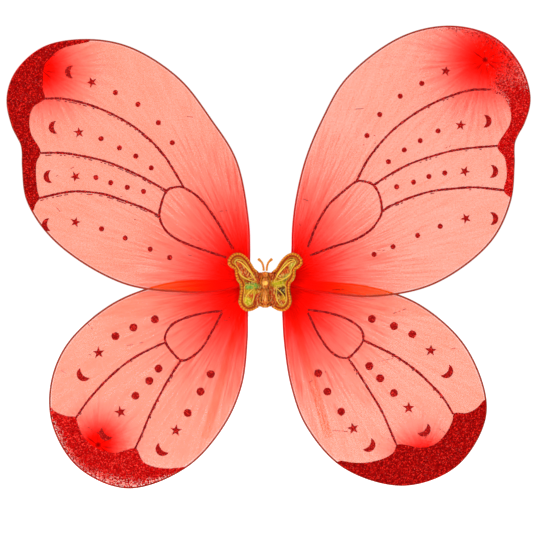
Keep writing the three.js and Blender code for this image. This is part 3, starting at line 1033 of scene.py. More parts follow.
LOWER_RIGHT = Print(
    rows=(
        row((175, -86), (160, -66), (142, -50), (124, -42), (102.5, -35)),
        row((153, -143), (138.5, -122), (124, -107.5), (110.5, -93), (100, -81)),
        row((99, -158), (84, -142), (72.5, -125.5), (59, -106), (50, -88)),
    ),
    veins=(
        ((182, -128), (172, -112), (160, -99), (145, -85), (125, -71), (105, -61), (94, -56)),
        ((127, -159), (120, -143), (112, -125), (100, -105), (90, -89), (79, -73)),
    ),
    cell=(
        (40, -26), (60, -29), (78, -35), (90, -43), (94, -51), (93, -58), (88, -65), (79, -73), (68, -71),
        (58, -62), (48, -46), (40, -29),
    ),
    tip_edge=(
        (212, -114), (205, -122), (195, -127), (183, -127), (181, -135), (174, -148), (163, -158),
        (150, -161), (135, -158), (127, -158), (124, -165),
        (115, -171), (100, -175), (85, -175.5), (70, -173),
    ),
    dot_size=8.0, star_size=11.5, crescent_size=14.0, ghost=(-1.2, -1.4), tip_coverage=1.4, rim_coverage=1.2,
    knot_reach=24, sheerness=0.24,
)


def shape_outline(kind: Shape, size: float, dice: random.Random) -> Points:
    """The outline of one printed shape about its own middle, a little uneven as hand printing is.

    Args:
        kind: The shape.
        size: Its size in millimetres.
        dice: The wing's own dice.

    Returns:
        The outline's points in millimetres.
    """
    radius, uneven = size / 2, 0.07
    if kind is Shape.CRESCENT:
        around = [math.radians(a) for a in range(-195, 16, 15)]
        outside = [(radius * math.cos(a), radius * math.sin(a)) for a in around]
        shares = (0.75, 0.5, 0.25, 0.0, -0.25, -0.5, -0.75)
        return outside + [(radius * s, radius * (0.26 - 0.44 * (1 - s * s))) for s in shares]
    points = []
    for k in range(16 if kind is Shape.DOT else 10):
        if kind is Shape.DOT:
            r = radius * (1 + dice.uniform(-uneven, uneven))
            points.append((r * math.cos(k * math.pi / 8), r * math.sin(k * math.pi / 8)))
        else:
            r = radius * (0.44 if k % 2 else 1.08) * (1 + dice.uniform(-uneven, uneven))
            points.append((r * math.sin(k * math.pi / 5), r * math.cos(k * math.pi / 5)))
    return points


@dataclass
class Wing:
    """One hoop of wire with its nylon cover and what is printed on it.

    Sizes are in metres, but the widths of printed lines are in millimetres.
    """

    tier: str
    side: Side
    printed: Print
    frame: dict
    wire_radius: float = 0.9 * MM
    wire_sides: int = 12
    wire_gap: float = 0.3 * MM
    stem_reach: float = 4.5 * MM
    ring_reach: float = 2.6 * MM
    line_step: float = 2.0 * MM
    root_out: float = 6 * MM
    root_up: float = 4 * MM
    nylon_stand_off: float = 0.17 * MM
    rest_gap: float = 0.35 * MM
    edge_swell: float = 6 * MM
    rows: int = 150
    columns: int = 72
    print_lift: float = 0.26 * MM
    vein_width: float = 2.2
    ghost_width: float = 0.9
    scratch_width: float = 0.5
    scratches: int = 16
    loose_flakes: int = 420
    flake_lift: float = 0.22 * MM
    knot_turns: int = 7
    thread_radius: float = 0.22 * MM
    frayed_ends: int = 22

    def __post_init__(self) -> None:
        """Reads where the wing lies from the frame."""
        frame, side = self.frame, self.side
        self.name = f"{self.tier}_{side.label}"
        self.body = f"{self.name}_wing"
        self.up = 1 if self.tier == "upper" else -1
        self.dice = random.Random(self.name)
        fold = next(joint for joint in frame["joints"] if joint["name"] == f"{side.label}_wings_fold")
        self.hinge = np.array(fold["pos_m"])
        stem_low, stem_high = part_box(f"{self.name}_twisted_stem")
        self.stem = np.array((stem_low + stem_high) / 2)
        knot_low, knot_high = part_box(f"{self.name}_toe_knot")
        self.knot = np.array(((knot_low.x + knot_high.x) / 2, knot_low.y, (knot_low.z + knot_high.z) / 2))
        self.knot_depth = knot_high.y - knot_low.y
        self.line = self.read_hoop(frame["nodes"][f"{self.name}_wire_hoop"])
        root_x = self.hinge[0] + side.value * self.root_out
        self.root = np.array((root_x, self.hinge[1], self.up * self.root_up))

    def read_hoop(self, node: Thing) -> np.ndarray:
        """Finds the wire's centre line in the hoop's mesh, from the inner edge round to the outer one.

        Args:
            node: The hoop.

        Returns:
            Points along the wire's middle, in metres.
        """
        corners = np.array([v.co for v in node.data.vertices])
        stem_end = np.array((self.hinge[0], self.hinge[1], self.stem[2]))
        left = list(corners[np.linalg.norm(corners - stem_end, axis=1) > self.stem_reach])
        rings = []
        while left:
            near = [p for p in left if np.linalg.norm(p - left[0]) < self.ring_reach]
            left = [p for p in left if np.linalg.norm(p - near[0]) >= self.ring_reach]
            rings.append((np.min(near, axis=0) + np.max(near, axis=0)) / 2)
        order = [rings.pop(int(np.argmax([np.linalg.norm(p - stem_end) for p in rings])))]
        while rings:
            order.append(rings.pop(int(np.argmin([np.linalg.norm(p - order[-1]) for p in rings]))))
        order = np.array(order)
        gaps = np.linalg.norm(order - stem_end, axis=1)
        cut = int(np.argmin(gaps + np.roll(gaps, -1))) + 1
        order = np.roll(order, -cut, axis=0)
        if abs(order[0][2]) < abs(order[-1][2]):
            order = order[::-1]
        spread = self.up * (self.wire_radius + self.wire_gap)
        ends = [stem_end + (0, 0, spread), stem_end - (0, 0, spread)]
        return smooth_line([ends[0], *order, ends[1]], self.line_step)

    def build(self) -> list[Thing]:
        """Makes the wing's pieces and hands them to the frame.

        Returns:
            The pieces.
        """
        pieces = [self.wire(), self.cover()]
        front = self.front_surface(pieces[1])
        pieces += [self.veins(front), self.shapes(front), *self.tip(front), self.toe()]
        return pieces

    def wire(self) -> Thing:
        """The lacquered wire."""
        piece = dressed(f"{self.name}_wire", WIRE, sweep(self.line, self.wire_radius, self.wire_sides))
        return settle(piece, self.body, "wire", f"{self.name}_wire_hoop")

    def pleat(self, x: np.ndarray, z: np.ndarray, clear: np.ndarray) -> np.ndarray:
        """How far the cloth's gathers push it forward.

        Args:
            x: Places across, in metres.
            z: Places up, in metres.
            clear: Distance from the wire, in metres.

        Returns:
            Offsets along -Y, in metres.
        """
        total = np.zeros_like(x)
        for centre, reach, folds, depth in ((self.root, 48, 62, 0.5), (self.knot, 24, 19, 0.22)):
            dx, dz = (x - centre[0]) / MM, (z - centre[2]) / MM
            r, angle = np.hypot(dx, dz), np.arctan2(dz, dx)
            wave = np.sin(folds * angle + 1.7 * np.sin(5 * angle)) + 0.5 * np.sin(1.73 * folds * angle + 2)
            total += depth * wave * np.exp(-((r / reach) ** 2)) * np.clip(r / 10, 0, 1)
            total += 0.10 * wave * np.exp(-((r / (reach * 3)) ** 2))
        ripple = np.sin(x / MM * 0.09 + z / MM * 0.05 + self.up) * np.sin(z / MM * 0.07 - x / MM * 0.03)
        return (total + 0.25 * ripple) * (1 - np.exp(-((clear / (5 * MM)) ** 2))) * MM

    def cover(self) -> Thing:
        """The nylon, pulled over the hoop like a sock and stretched between its wires.

        Returns:
            The nylon.
        """
        tip = int(np.argmax(np.linalg.norm((self.line - self.root)[:, [0, 2]], axis=1)))
        inner = resample(self.line[: tip + 1], self.rows + 1)
        outer = resample(self.line[tip:][::-1], self.rows + 1)
        wrap = self.wire_radius + self.nylon_stand_off
        outwards = []
        for edge, turn in ((inner, 1), (outer, -1)):
            normal = leftwards(np.gradient(edge, axis=0)[:, [0, 2]])
            outwards.append(normal * turn * self.side.value * self.up)
        rings = []
        turns = np.radians([-60, -20, 20, 60])
        share = np.linspace(0, 1, self.columns)
        share = 0.5 - 0.5 * np.cos(share * math.pi) * (0.35 + 0.65 * np.abs(np.cos(share * math.pi)) ** 0.4)
        share = (share - share[0]) / (share[-1] - share[0])
        for i in range(self.rows + 1):
            a, b = inner[i], outer[i]
            flat = a + (b - a) * share[:, None]
            width = np.linalg.norm(b - a)
            clear = np.minimum(share, 1 - share) * width
            gap = self.rest_gap + (wrap - self.rest_gap) * np.exp(-((clear / self.edge_swell) ** 2))
            fold = self.pleat(flat[:, 0], flat[:, 2], clear)
            front, back = flat.copy(), flat.copy()
            front[:, 1] -= gap + fold
            back[:, 1] += gap - fold
            ways = [np.array((o[i][0], 0, o[i][1])) for o in outwards]
            round_b = [b + wrap * (math.cos(t) * ways[1] + math.sin(t) * np.array((0, 1, 0))) for t in turns]
            round_a = [a + wrap * (math.cos(t) * ways[0] - math.sin(t) * np.array((0, 1, 0))) for t in turns]
            rings.append(np.vstack([front, round_b, back[::-1], round_a]))
        verts = np.vstack(rings)
        faces = tube_faces(len(rings), len(rings[0]), capped=False)
        piece = make_piece(f"{self.name}_nylon", verts, faces, self.nylon().make())
        close_up(piece)
        points = np.array([v.co for v in piece.data.vertices])
        fine = resample(self.line, 900)
        to_wire = np.array([np.min(np.linalg.norm(fine - point, axis=1)) for point in points])
        stretched = piece.data.attributes.new("over_wire", "FLOAT", "POINT")
        stretched.data.foreach_set("value", np.clip(2.0 - to_wire / wrap, 0, 1).astype(np.float32))
        settle(piece, self.body, "nylon", f"{self.name}_nylon_cover")
        return piece

    def nylon(self) -> NylonFinish:
        """The wing's own nylon, gathered at its root and its toe."""
        way = math.radians(98 if self.up > 0 else 248)
        return NylonFinish(
            f"sheer_red_nylon_{self.name}",
            roughness=0.62,
            specular=0.01,
            sheen=0.0,
            root=tuple(self.root[[0, 2]] / MM),
            knot=tuple(self.knot[[0, 2]] / MM),
            knot_reach=self.printed.knot_reach,
            sheerness=self.printed.sheerness,
            dense_way=(-self.side.value * math.cos(way), math.sin(way)),
            dense_extra=16.0 if self.up > 0 else 8.0,
        )

    def front_surface(self, cover: Thing) -> BVHTree:
        """The cover's faces, for laying the print on.

        Args:
            cover: The nylon.

        Returns:
            The faces.
        """
        mesh = bmesh.new()
        mesh.from_mesh(cover.data)
        tree = BVHTree.FromBMesh(mesh)
        mesh.free()
        return tree

    def lay(self, front: BVHTree, x: float, z: float, lift: float, way: int = 1) -> Vector | None:
        """The point that stands that far off the cloth at one place, in front or, with way -1, behind.

        Args:
            front: The cloth's faces.
            x: Place across, in millimetres.
            z: Place up, in millimetres.
            lift: Distance off the cloth, in metres.
            way: 1 for the front of the wing, or -1 for its rear.

        Returns:
            The point in metres, or None where there is no cloth.
        """
        start = Vector((x * MM, self.hinge[1] - way * 30 * MM, z * MM))
        hit, _, _, _ = front.ray_cast(start, Vector((0, way, 0)))
        return None if hit is None else hit - Vector((0, way * lift, 0))

    def decal(self, front: BVHTree, outline: list, spacing: float, way: int = 1) -> tuple[list, list]:
        """Lays a filled outline on the cloth.

        Args:
            front: The cloth.
            outline: Places in millimetres.
            spacing: Distance between the points inside it, in millimetres.
            way: 1 for the front of the wing, or -1 for its rear.

        Returns:
            Points in metres and faces.
        """
        edge = [Vector(p) for p in outline]
        low = Vector((min(p.x for p in edge), min(p.y for p in edge)))
        high = Vector((max(p.x for p in edge), max(p.y for p in edge)))
        inside = []
        for i in range(int((high.x - low.x) / spacing)):
            for j in range(int((high.y - low.y) / spacing)):
                shift = 0.5 * (j % 2)
                inside.append(low + Vector(((i + 0.5 + shift) * spacing, (j + 0.5) * spacing)))
        loop = [(k, (k + 1) % len(edge)) for k in range(len(edge))]
        made = delaunay_2d_cdt(edge + inside, loop, [list(range(len(edge)))], 1, 1e-4)
        laid = [self.lay(front, p.x, p.y, self.print_lift, way) for p in made[0]]
        faces = [f for f in made[2] if all(laid[k] is not None for k in f)]
        verts = [tuple(p) if p is not None else (0.0, float(self.hinge[1]), 0.0) for p in laid]
        return verts, faces

    def printed_piece(
        self, name: str, decals: list, finish: GlitterFinish, cover: Callable | None = None
    ) -> Thing:
        """Joins laid outlines into one piece of the print.

        Args:
            name: What the print is called.
            decals: Points and faces of each outline.
            finish: Its ink.
            cover: Gives the share of ink at each point, or None for all of it.

        Returns:
            The piece.
        """
        verts, faces = [], []
        for decal_verts, decal_faces in decals:
            faces.extend(tuple(len(verts) + k for k in face) for face in decal_faces)
            verts.extend(decal_verts)
        used = sorted({k for face in faces for k in face})
        number = {k: n for n, k in enumerate(used)}
        verts = np.array([verts[k] for k in used])
        faces = [tuple(number[k] for k in face) for face in faces]
        piece = make_piece(f"{self.name}_{name}", verts, faces, finish.make())
        close_up(piece)
        layer = piece.data.attributes.new("cover", "FLOAT", "POINT")
        points = np.array([v.co for v in piece.data.vertices])
        values = np.ones(len(points)) if cover is None else cover(points)
        layer.data.foreach_set("value", values.astype(np.float32))
        return settle(piece, self.body, "nylon")

    def ribbon_outlines(self, points: Points, width: float) -> list:
        """Cuts a printed line into short filled outlines with uneven edges.

        Args:
            points: The line's points in millimetres.
            width: The line's width in millimetres.

        Returns:
            The outlines in millimetres.
        """
        line = smooth_line([(*p, 0) for p in points], 2.0)[:, :2]
        normal = leftwards(np.gradient(line, axis=0))
        half = np.array([width / 2 * (1 + self.dice.uniform(-0.22, 0.22)) for _ in line])[:, None]
        one, other = line + normal * half, line - normal * half
        return [[*one[i : i + 2], *other[i : i + 2][::-1]] for i in range(len(line) - 1)]

    def broken(self, points: Points, width: float, share: float) -> list:
        """The outlines of a faint line, of which only a share took."""
        return [outline for outline in self.ribbon_outlines(points, width) if self.dice.random() < share]

    def strips(self, front: BVHTree, outlines: list) -> list:
        """Lays four-cornered outlines on the cloth.

        Args:
            front: The cloth's faces.
            outlines: Four corners each, in millimetres.

        Returns:
            Points and faces of each one that lies wholly on the cloth.
        """
        laid = []
        for outline in outlines:
            corners = [self.lay(front, x, z, self.print_lift) for x, z in outline]
            if all(c is not None for c in corners):
                laid.append(([tuple(c) for c in corners], [(0, 1, 2, 3)]))
        return laid

    def veins(self, front: BVHTree) -> Thing:
        """The printed vein lines, each with the faint second line of a slipped print.

        Args:
            front: The cloth's faces.

        Returns:
            The piece.
        """
        outlines = []
        for vein in (*self.printed.veins, self.printed.cell):
            outlines += self.ribbon_outlines(list(vein), self.vein_width)
        for vein in self.printed.veins:
            slipped = [(x + self.printed.ghost[0], z + self.printed.ghost[1]) for x, z in vein]
            outlines += self.broken(slipped, self.ghost_width, self.printed.slipped_share)
        low, high = self.line.min(axis=0) / MM, self.line.max(axis=0) / MM
        for _ in range(self.scratches):
            x, z = self.dice.uniform(low[0], high[0]), self.dice.uniform(low[2], high[2])
            angle, length = self.dice.uniform(-0.9, 0.9), self.dice.uniform(6, 20)
            scratch = [(x, z), (x + length * math.cos(angle), z + length * math.sin(angle))]
            outlines += self.broken(scratch, self.scratch_width, 0.4)
        return self.printed_piece("veins", self.strips(front, outlines), GLITTER_LINE)

    def shapes(self, front: BVHTree) -> Thing:
        """The printed dots, stars and crescents.

        Args:
            front: The cloth's faces.

        Returns:
            The piece.
        """
        p = self.printed
        size = {Shape.DOT: p.dot_size, Shape.STAR: p.star_size, Shape.CRESCENT: p.crescent_size}
        decals = []
        for kind, x, z in (entry for line in p.rows for entry in line):
            turn = self.dice.uniform(-0.25, 0.25) * (2.4 if kind is Shape.STAR else 1.0)
            if kind is Shape.CRESCENT:
                lean = math.radians(88 if self.up > 0 else 48)
                turn = self.side.value * lean + self.dice.uniform(-0.1, 0.1)
            outline = []
            c, s = math.cos(turn), math.sin(turn)
            for u, v in shape_outline(kind, size[kind], self.dice):
                outline.append((x + u * c - v * s, z + u * s + v * c))
            decals.append(self.decal(front, outline, 1.4))
        return self.printed_piece("printed_shapes", decals, GLITTER_SHAPE)

    def tip(self, front: BVHTree) -> list[Thing]:
        """The glittered toe of the cover, and the loose flakes that stand on it.

        Args:
            front: The cloth's faces.

        Returns:
            The field of ink and its loose flakes.
        """
        inner = smooth_line([(*p, 0) for p in self.printed.tip_edge], 2.5)[:, :2]
        hoop = self.line[:, [0, 2]] / MM
        first = int(np.argmin(np.linalg.norm(hoop - inner[0], axis=1)))
        last = int(np.argmin(np.linalg.norm(hoop - inner[-1], axis=1)))
        step = 1 if last > first else -1
        rim = hoop[first : last + step : step]
        outline = [tuple(place) for place in (*rim, *inner[::-1][1:-1])]
        verts, faces = self.decal(front, outline, 1.7)
        soaked = self.decal(front, outline, 2.6, -1)
        p = self.printed

        def cover(points: np.ndarray) -> np.ndarray:
            """How much ink is on the cloth: less at the rim, where it is worn, and on the rear layer.

            Args:
                points: Points in metres.

            Returns:
                The share of ink at each point.
            """
            flat = points[:, [0, 2]] / MM
            to_rim = np.min(np.linalg.norm(flat[:, None] - rim[None, ::2], axis=2), axis=1)
            to_inner = np.min(np.linalg.norm(flat[:, None] - inner[None], axis=2), axis=1)
            share = to_rim / np.maximum(to_rim + to_inner, 1e-6)
            worn = np.clip((flat[:, 1] - p.worn_above) / 40, 0, 1)
            to_knot = np.linalg.norm(flat - self.knot[[0, 2]] / MM, axis=1)
            value = p.rim_coverage + (p.tip_coverage - p.rim_coverage) * np.clip(share * 1.5, 0, 1)
            value *= (1 - 0.52 * worn) * (1 - 0.8 * worn * np.exp(-((to_knot / 20) ** 2)))
            value *= np.clip(0.55 - 0.3 * worn + to_inner / (4 + 12 * worn), 0, 1)
            return np.where(points[:, 1] > np.median(self.line[:, 1]), 1.5 * value - 0.5, value)

        # Tips marked for painted light take the brighter, lit copy of the glitter.
        finish = GLITTER_TIP_PAINTED_LIT if p.glow else GLITTER_TIP
        field = self.printed_piece("glitter_tip", [(verts, faces), soaked], finish, cover)
        return [field, self.flakes(verts, faces)]

    def flakes(self, verts: list, faces: list) -> Thing:
        """Single flakes that stand proud of the ink.

        Args:
            verts: Points of the ink's field, in metres.
            faces: Its faces.

        Returns:
            The piece.
        """
        points = np.array(verts)
        corners = [points[list(f[:3])] for f in faces]
        sizes = [float(np.linalg.norm(np.cross(c[1] - c[0], c[2] - c[0]))) for c in corners]
        decals = []
        for a, b, c in self.dice.choices(corners, weights=sizes, k=self.loose_flakes):
            u, v = sorted((self.dice.random(), self.dice.random()))
            at = a * u + b * (v - u) + c * (1 - v)
            size = self.dice.uniform(0.28, 0.5) * MM
            lean = np.array([self.dice.uniform(-0.45, 0.45) for _ in range(2)])
            turn = self.dice.uniform(0, math.pi)
            flake = []
            for k in range(6):
                x, z = size * math.cos(turn + k * math.pi / 3), size * math.sin(turn + k * math.pi / 3)
                flake.append((at[0] + x, at[1] - self.flake_lift + x * lean[0] + z * lean[1], at[2] + z))
            decals.append((flake, [(0, 1, 2, 3, 4, 5)]))
        return self.printed_piece("loose_glitter", decals, LOOSE_FLAKE)

    def toe(self) -> Thing:
        """The tied toe behind the wing: wound thread and the frayed end of the gathers.

        Returns:
            The piece.
        """
        parts = []
        knot, depth = self.knot, self.knot_depth
        angle = np.linspace(0, TURN, 25)
        for k in range(self.knot_turns):
            r = (1.35 + 0.16 * math.sin(k * 1.3)) * MM
            y = knot[1] + depth * (0.08 + 0.052 * k) + 0.1 * MM * np.sin(2 * angle)
            ring = np.stack([knot[0] + r * np.cos(angle), y, knot[2] + r * np.sin(angle)], axis=1)
            parts.append(sweep(ring, self.thread_radius, 6))
        stages = ((0.0, 0.9), (0.15, 0.95), (0.42, 0.8), (0.7, 1.6), (0.98, 2.35))
        for _ in range(self.frayed_ends):
            turn, spread = self.dice.uniform(0, TURN), self.dice.uniform(0.2, 1.0)
            way = np.array((math.cos(turn), 0, math.sin(turn)))
            route = [knot + (0, depth * share, 0) + way * r * spread * MM for share, r in stages]
            line = smooth_line(route, 0.5 * MM)
            parts.append(sweep(line, np.linspace(0.42, 0.16, len(line)) * MM, 5))
        piece = dressed(f"{self.name}_toe", RED_THREAD, *parts)
        return settle(piece, self.body, "thread", f"{self.name}_toe_knot")


# ---- Finishes of the patch, the centre and the pad ----
@dataclass(frozen=True)
class FoilFinish(Finish):
    """Crumpled holographic foil, whose colour changes from place to place, with painted reflections of its
    sheen and painted glints.
    """

    shades: tuple[Colour, ...] = (
        (0.10, 0.006, 0.002), (0.62, 0.03, 0.008), (0.85, 0.20, 0.02), (0.45, 0.02, 0.01)
    )
    spots: tuple[tuple[float, float, float, float, Colour], ...] = ()
    cells: float = 1.1
    glints: float = 0.6
    glint: Colour = (1.0, 0.74, 0.22)
    relief: float = 0.0014

    @cache
    def make(self) -> bpy.types.Material:
        """Builds the material.

        Returns:
            The material.
        """
        material, graph, shader = self.start()
        place = graph.place()
        bent = graph.noise(place, 0.5, 3.0)
        shift = graph.node("CombineXYZ", None, X=bent, Y=graph.times(bent, 2.0))
        moved = graph.vector("ADD", place, graph.vector("MULTIPLY", shift.outputs[0], (2.5, 2.5, 0.0)))
        drawn = graph.vector("MULTIPLY", moved, (1.5, 0.6, 0.0))
        facets = graph.node("TexVoronoi", None, Vector=drawn, Scale=self.cells)
        pick = graph.node("SeparateColor", None, Color=facets.outputs["Color"])
        stops = [(k / (len(self.shades) - 1), shade) for k, shade in enumerate(self.shades)]
        colour = graph.ramp(pick.outputs[0], stops)
        # Spots of colour at given places: partly the foil's own tint, partly a painted reflection of its
        # holographic sheen.
        for x, z, wide, tall, tint in self.spots:
            offset = graph.vector("SUBTRACT", moved, (x, z, 0.0))
            offset = graph.vector("MULTIPLY", offset, (1 / wide, 1 / tall, 0.0))
            mask = graph.between(graph.vector("LENGTH", offset), 1.25, 0.45)
            dull = tuple(0.45 * c for c in tint)
            colour = graph.mix(mask, colour, graph.mix(pick.outputs[1], tint, dull))
        # Painted glints: a share of the facets takes a pale gold colour.
        glint = graph.times(graph.between(pick.outputs[2], 0.84, 0.90), self.glints)
        colour = graph.mix(glint, colour, self.glint)
        graph.feed(shader.inputs["Base Color"], colour)
        creases = graph.node("TexVoronoi", {"feature": "DISTANCE_TO_EDGE"}, Vector=drawn, Scale=self.cells)
        raised = graph.calc("ADD", creases.outputs["Distance"], graph.times(graph.noise(place, 2.5), 0.4))
        self.bump(graph, shader, raised, self.relief)
        return material


# The cords and the silk paint shade into their grooves and hollows and a highlight onto their crests.
GOLD_CORD = ClothFinish(
    "gold_brown_cord", roughness=0.5, specular=0.06, light=(0.92, 0.27, 0.010), shade=(0.07, 0.005, 0.002),
    pitch=(0.9, 1.3), slant=0.9, fluff=0.5, relief=0.0004, cavity=0.9,
)
RUST_CORD = ClothFinish(
    "rust_red_cord", roughness=0.5, specular=0.05, light=(0.58, 0.034, 0.003), shade=(0.09, 0.003, 0.001),
    pitch=(0.9, 1.3), slant=0.5, fluff=0.5, relief=0.0003, cavity=0.9,
)
YELLOW_SILK = ClothFinish(
    "yellow_embroidery_silk", roughness=0.4, specular=0.25, light=(0.98, 0.60, 0.05),
    shade=(0.30, 0.05, 0.003), pitch=(1.3, 4.0), slant=0.8, fluff=0.4, relief=0.0003, cavity=0.6,
)
LEFT_FOIL = FoilFinish(
    "left_holographic_foil", roughness=0.34, metallic=0.2, specular=0.12,
    spots=(
        (-16, -0.5, 12, 3.6, (0.26, 0.62, 0.07)), (-19, -15, 6.5, 5.0, (0.95, 0.80, 0.02)),
        (-14, -6, 9, 2.6, (0.92, 0.50, 0.02)), (-25, 4.5, 5, 3.0, (0.80, 0.62, 0.05)),
    ),
)
RIGHT_FOIL = FoilFinish(
    "right_holographic_foil", roughness=0.34, metallic=0.2, specular=0.12,
    spots=(
        (13, 2.0, 9, 4.2, (0.88, 0.72, 0.02)), (23, 8, 8, 4, (0.60, 0.62, 0.08)),
        (18, -5.5, 9, 5.5, (0.09, 0.010, 0.006)), (28, 18, 6, 6, (0.74, 0.62, 0.05)),
        (17, -12, 7, 2.6, (0.85, 0.40, 0.02)),
    ),
)
BODY_FOIL = FoilFinish(
    "orange_body_foil", roughness=0.35, metallic=0.2, specular=0.12, cells=1.0,
    shades=((0.40, 0.02, 0.005), (0.85, 0.14, 0.015), (0.95, 0.35, 0.04), (0.6, 0.04, 0.01)),
)
AMBER = FoilFinish(
    "amber_bead", roughness=0.12, specular=0.5, coat=0.6, cells=0.3, glints=0.0,
    shades=((0.85, 0.33, 0.02), (0.95, 0.50, 0.04), (0.80, 0.25, 0.01)),
)
RED_FELT = ClothFinish(
    "red_felt", roughness=0.95, specular=0.03, sheen=0.12, light=(0.56, 0.008, 0.008),
    shade=(0.26, 0.002, 0.003), pitch=(2.3, 1.9), wander=6.0, fluff=1.6, relief=0.0004,
)
FOAM = ClothFinish(
    "white_foam", roughness=0.9, specular=0.1, light=(0.85, 0.83, 0.78), shade=(0.55, 0.53, 0.48),
    pitch=(0.5, 0.6), wander=3.0, fluff=0.8, relief=0.0004,
)
ELASTIC = ClothFinish(
    "clear_ribbed_elastic", roughness=0.35, specular=0.4, light=(0.86, 0.84, 0.84), shade=(0.60, 0.58, 0.58),
    pitch=(0.55, 1.33), fluff=0.1, relief=0.00012, sheer=(0.08, 0.24),
)
ROOT_NYLON = ClothFinish(
    "bunched_red_nylon", roughness=0.6, specular=0.05, light=(0.92, 0.012, 0.008), shade=(0.36, 0.0, 0.002),
    pitch=(9.0, 0.75), wander=0.4, fluff=0.3, relief=0.0003,
)


@dataclass
class Plate:
    """A flat piece of the frame, read as the rim and the plane of its largest face that looks that way."""

    node: Thing
    way: tuple[float, float, float] = (0, -1, 0)
    same_level: float = 0.05 * MM
    rim_points: int = 500
    inset_points: int = 260

    def __post_init__(self) -> None:
        """Finds the face, its rim and the plate's depth behind it."""
        mesh = bmesh.new()
        mesh.from_mesh(self.node.data)
        bmesh.ops.remove_doubles(mesh, verts=mesh.verts, dist=1e-6)
        looking = [face for face in mesh.faces if face.normal.dot(Vector(self.way)) > 0.7]
        caps = []
        for lead in looking:
            level = lead.normal.dot(lead.verts[0].co)
            same = [f for f in looking if f.normal.dot(lead.normal) > 0.999]
            caps.append([f for f in same if abs(f.verts[0].co.dot(lead.normal) - level) < self.same_level])
        cap = max(caps, key=lambda faces: sum(f.calc_area() for f in faces))
        edge = max(self.edge_loops(mesh, set(cap)), key=lambda loop: float(np.ptp(loop, axis=0).sum()))
        self.out = np.array(cap[0].normal)
        self.up = np.array((0.0, 0.0, 1.0))
        self.across = np.cross(self.up, self.out)
        self.origin = edge.mean(axis=0)
        heights = (np.array([v.co for v in mesh.verts]) - self.origin) @ self.out
        self.depth = float(-heights.min())
        mesh.free()
        self.rim = np.stack([(edge - self.origin) @ self.across, (edge - self.origin) @ self.up], axis=1)
        area = enclosed(self.rim[:, 0], self.rim[:, 1])
        if area < 0:
            self.rim = self.rim[::-1]
        self.area = abs(area)
        self.fine = resample(closed(self.rim), self.rim_points)[:-1]

    @staticmethod
    def edge_loops(mesh: bmesh.types.BMesh, inside: set) -> list[np.ndarray]:
        """Follows the edges that have one of those faces on one side only.

        Args:
            mesh: The plate's mesh.
            inside: The faces.

        Returns:
            The points of each loop of edges, in order.
        """
        steps: dict[int, list[int]] = {}
        for edge in mesh.edges:
            if sum(face in inside for face in edge.link_faces) == 1:
                a, b = (v.index for v in edge.verts)
                steps.setdefault(a, []).append(b)
                steps.setdefault(b, []).append(a)
        mesh.verts.ensure_lookup_table()
        loops = []
        while steps:
            loop = [next(iter(steps))]
            while loop[-1] in steps:
                ways = [k for k in steps.pop(loop[-1]) if k in steps]
                if not ways:
                    break
                loop.append(ways[0])
            loops.append(np.array([mesh.verts[k].co for k in loop]))
        return loops

    def at(self, flat: np.ndarray, height: float | np.ndarray) -> np.ndarray:
        """Points at those places on the plate, that height in metres off its face.

        Args:
            flat: Places on the plate, in metres.
            height: Height off the face, in metres.

        Returns:
            The points in metres.
        """
        flat = np.asarray(flat)
        high = np.broadcast_to(np.asarray(height, float), (len(flat),))
        in_plane = self.origin + np.outer(flat[:, 0], self.across) + np.outer(flat[:, 1], self.up)
        return in_plane + np.outer(high, self.out)

    def under(self, places: Points) -> np.ndarray:
        """Places on the plate that a viewer in front sees at those X and Z, in millimetres.

        Args:
            places: X and Z in millimetres.

        Returns:
            Places on the plate, in metres.
        """
        rows = []
        for x, z in places:
            rows.append(((x * MM - self.origin[0]) / self.across[0], z * MM - self.origin[2]))
        return np.array(rows)

    def clear(self, flat: np.ndarray) -> np.ndarray:
        """How far those places are from the rim, in metres."""
        return np.min(np.linalg.norm(np.asarray(flat)[:, None] - self.fine[None], axis=2), axis=1)

    def inset(self, distance: float) -> np.ndarray:
        """A closed line that runs that far inside the rim, in metres.

        Args:
            distance: How far inside the rim, in metres.

        Returns:
            The line's places on the plate, in metres.
        """
        inwards = leftwards(np.roll(self.fine, -1, axis=0) - np.roll(self.fine, 1, axis=0))
        moved = self.fine + inwards * distance
        return resample(closed(moved[self.clear(moved) > distance * 0.96]), self.inset_points)

    def panel(self, name: str, finish: Finish, spacing: float, relief: Relief) -> Thing:
        """Makes a closed panel in the plate's place, with a shaped face.

        Args:
            name: The piece's name.
            finish: Its finish.
            spacing: Distance between points in metres.
            relief: Gives the face's height in metres from places in metres and their distance from the rim.

        Returns:
            The new piece, not yet settled on a body.
        """
        ring = resample(closed(self.rim), max(24, int(self.fine_length() / spacing)))[:-1]
        low, high = ring.min(axis=0), ring.max(axis=0)
        grid = []
        for k, z in enumerate(np.arange(low[1], high[1], spacing * 0.87)):
            shift = 0.5 * spacing if k % 2 else 0.0
            grid += [(x + shift, z) for x in np.arange(low[0], high[0], spacing)]
        grid = np.array(grid)
        grid = grid[self.clear(grid) > spacing * 0.5]
        points = [Vector(p) for p in np.vstack([ring, grid])]
        edges = [(k, (k + 1) % len(ring)) for k in range(len(ring))]
        made = delaunay_2d_cdt(points, edges, [list(range(len(ring)))], 1, 1e-7)
        flat = np.array([tuple(p) for p in made[0]])
        clear = self.clear(flat)
        front = self.at(flat, relief(flat, clear))
        back = self.at(flat, -self.depth)
        count = len(flat)
        faces = [tuple(f) for f in made[2]] + [tuple(count + k for k in f[::-1]) for f in made[2]]
        faces += [(a, b, count + b, count + a) for a, b in edges]
        piece = make_piece(name, np.vstack([front, back]), faces, finish.make())
        close_up(piece, 1e-7)
        return piece

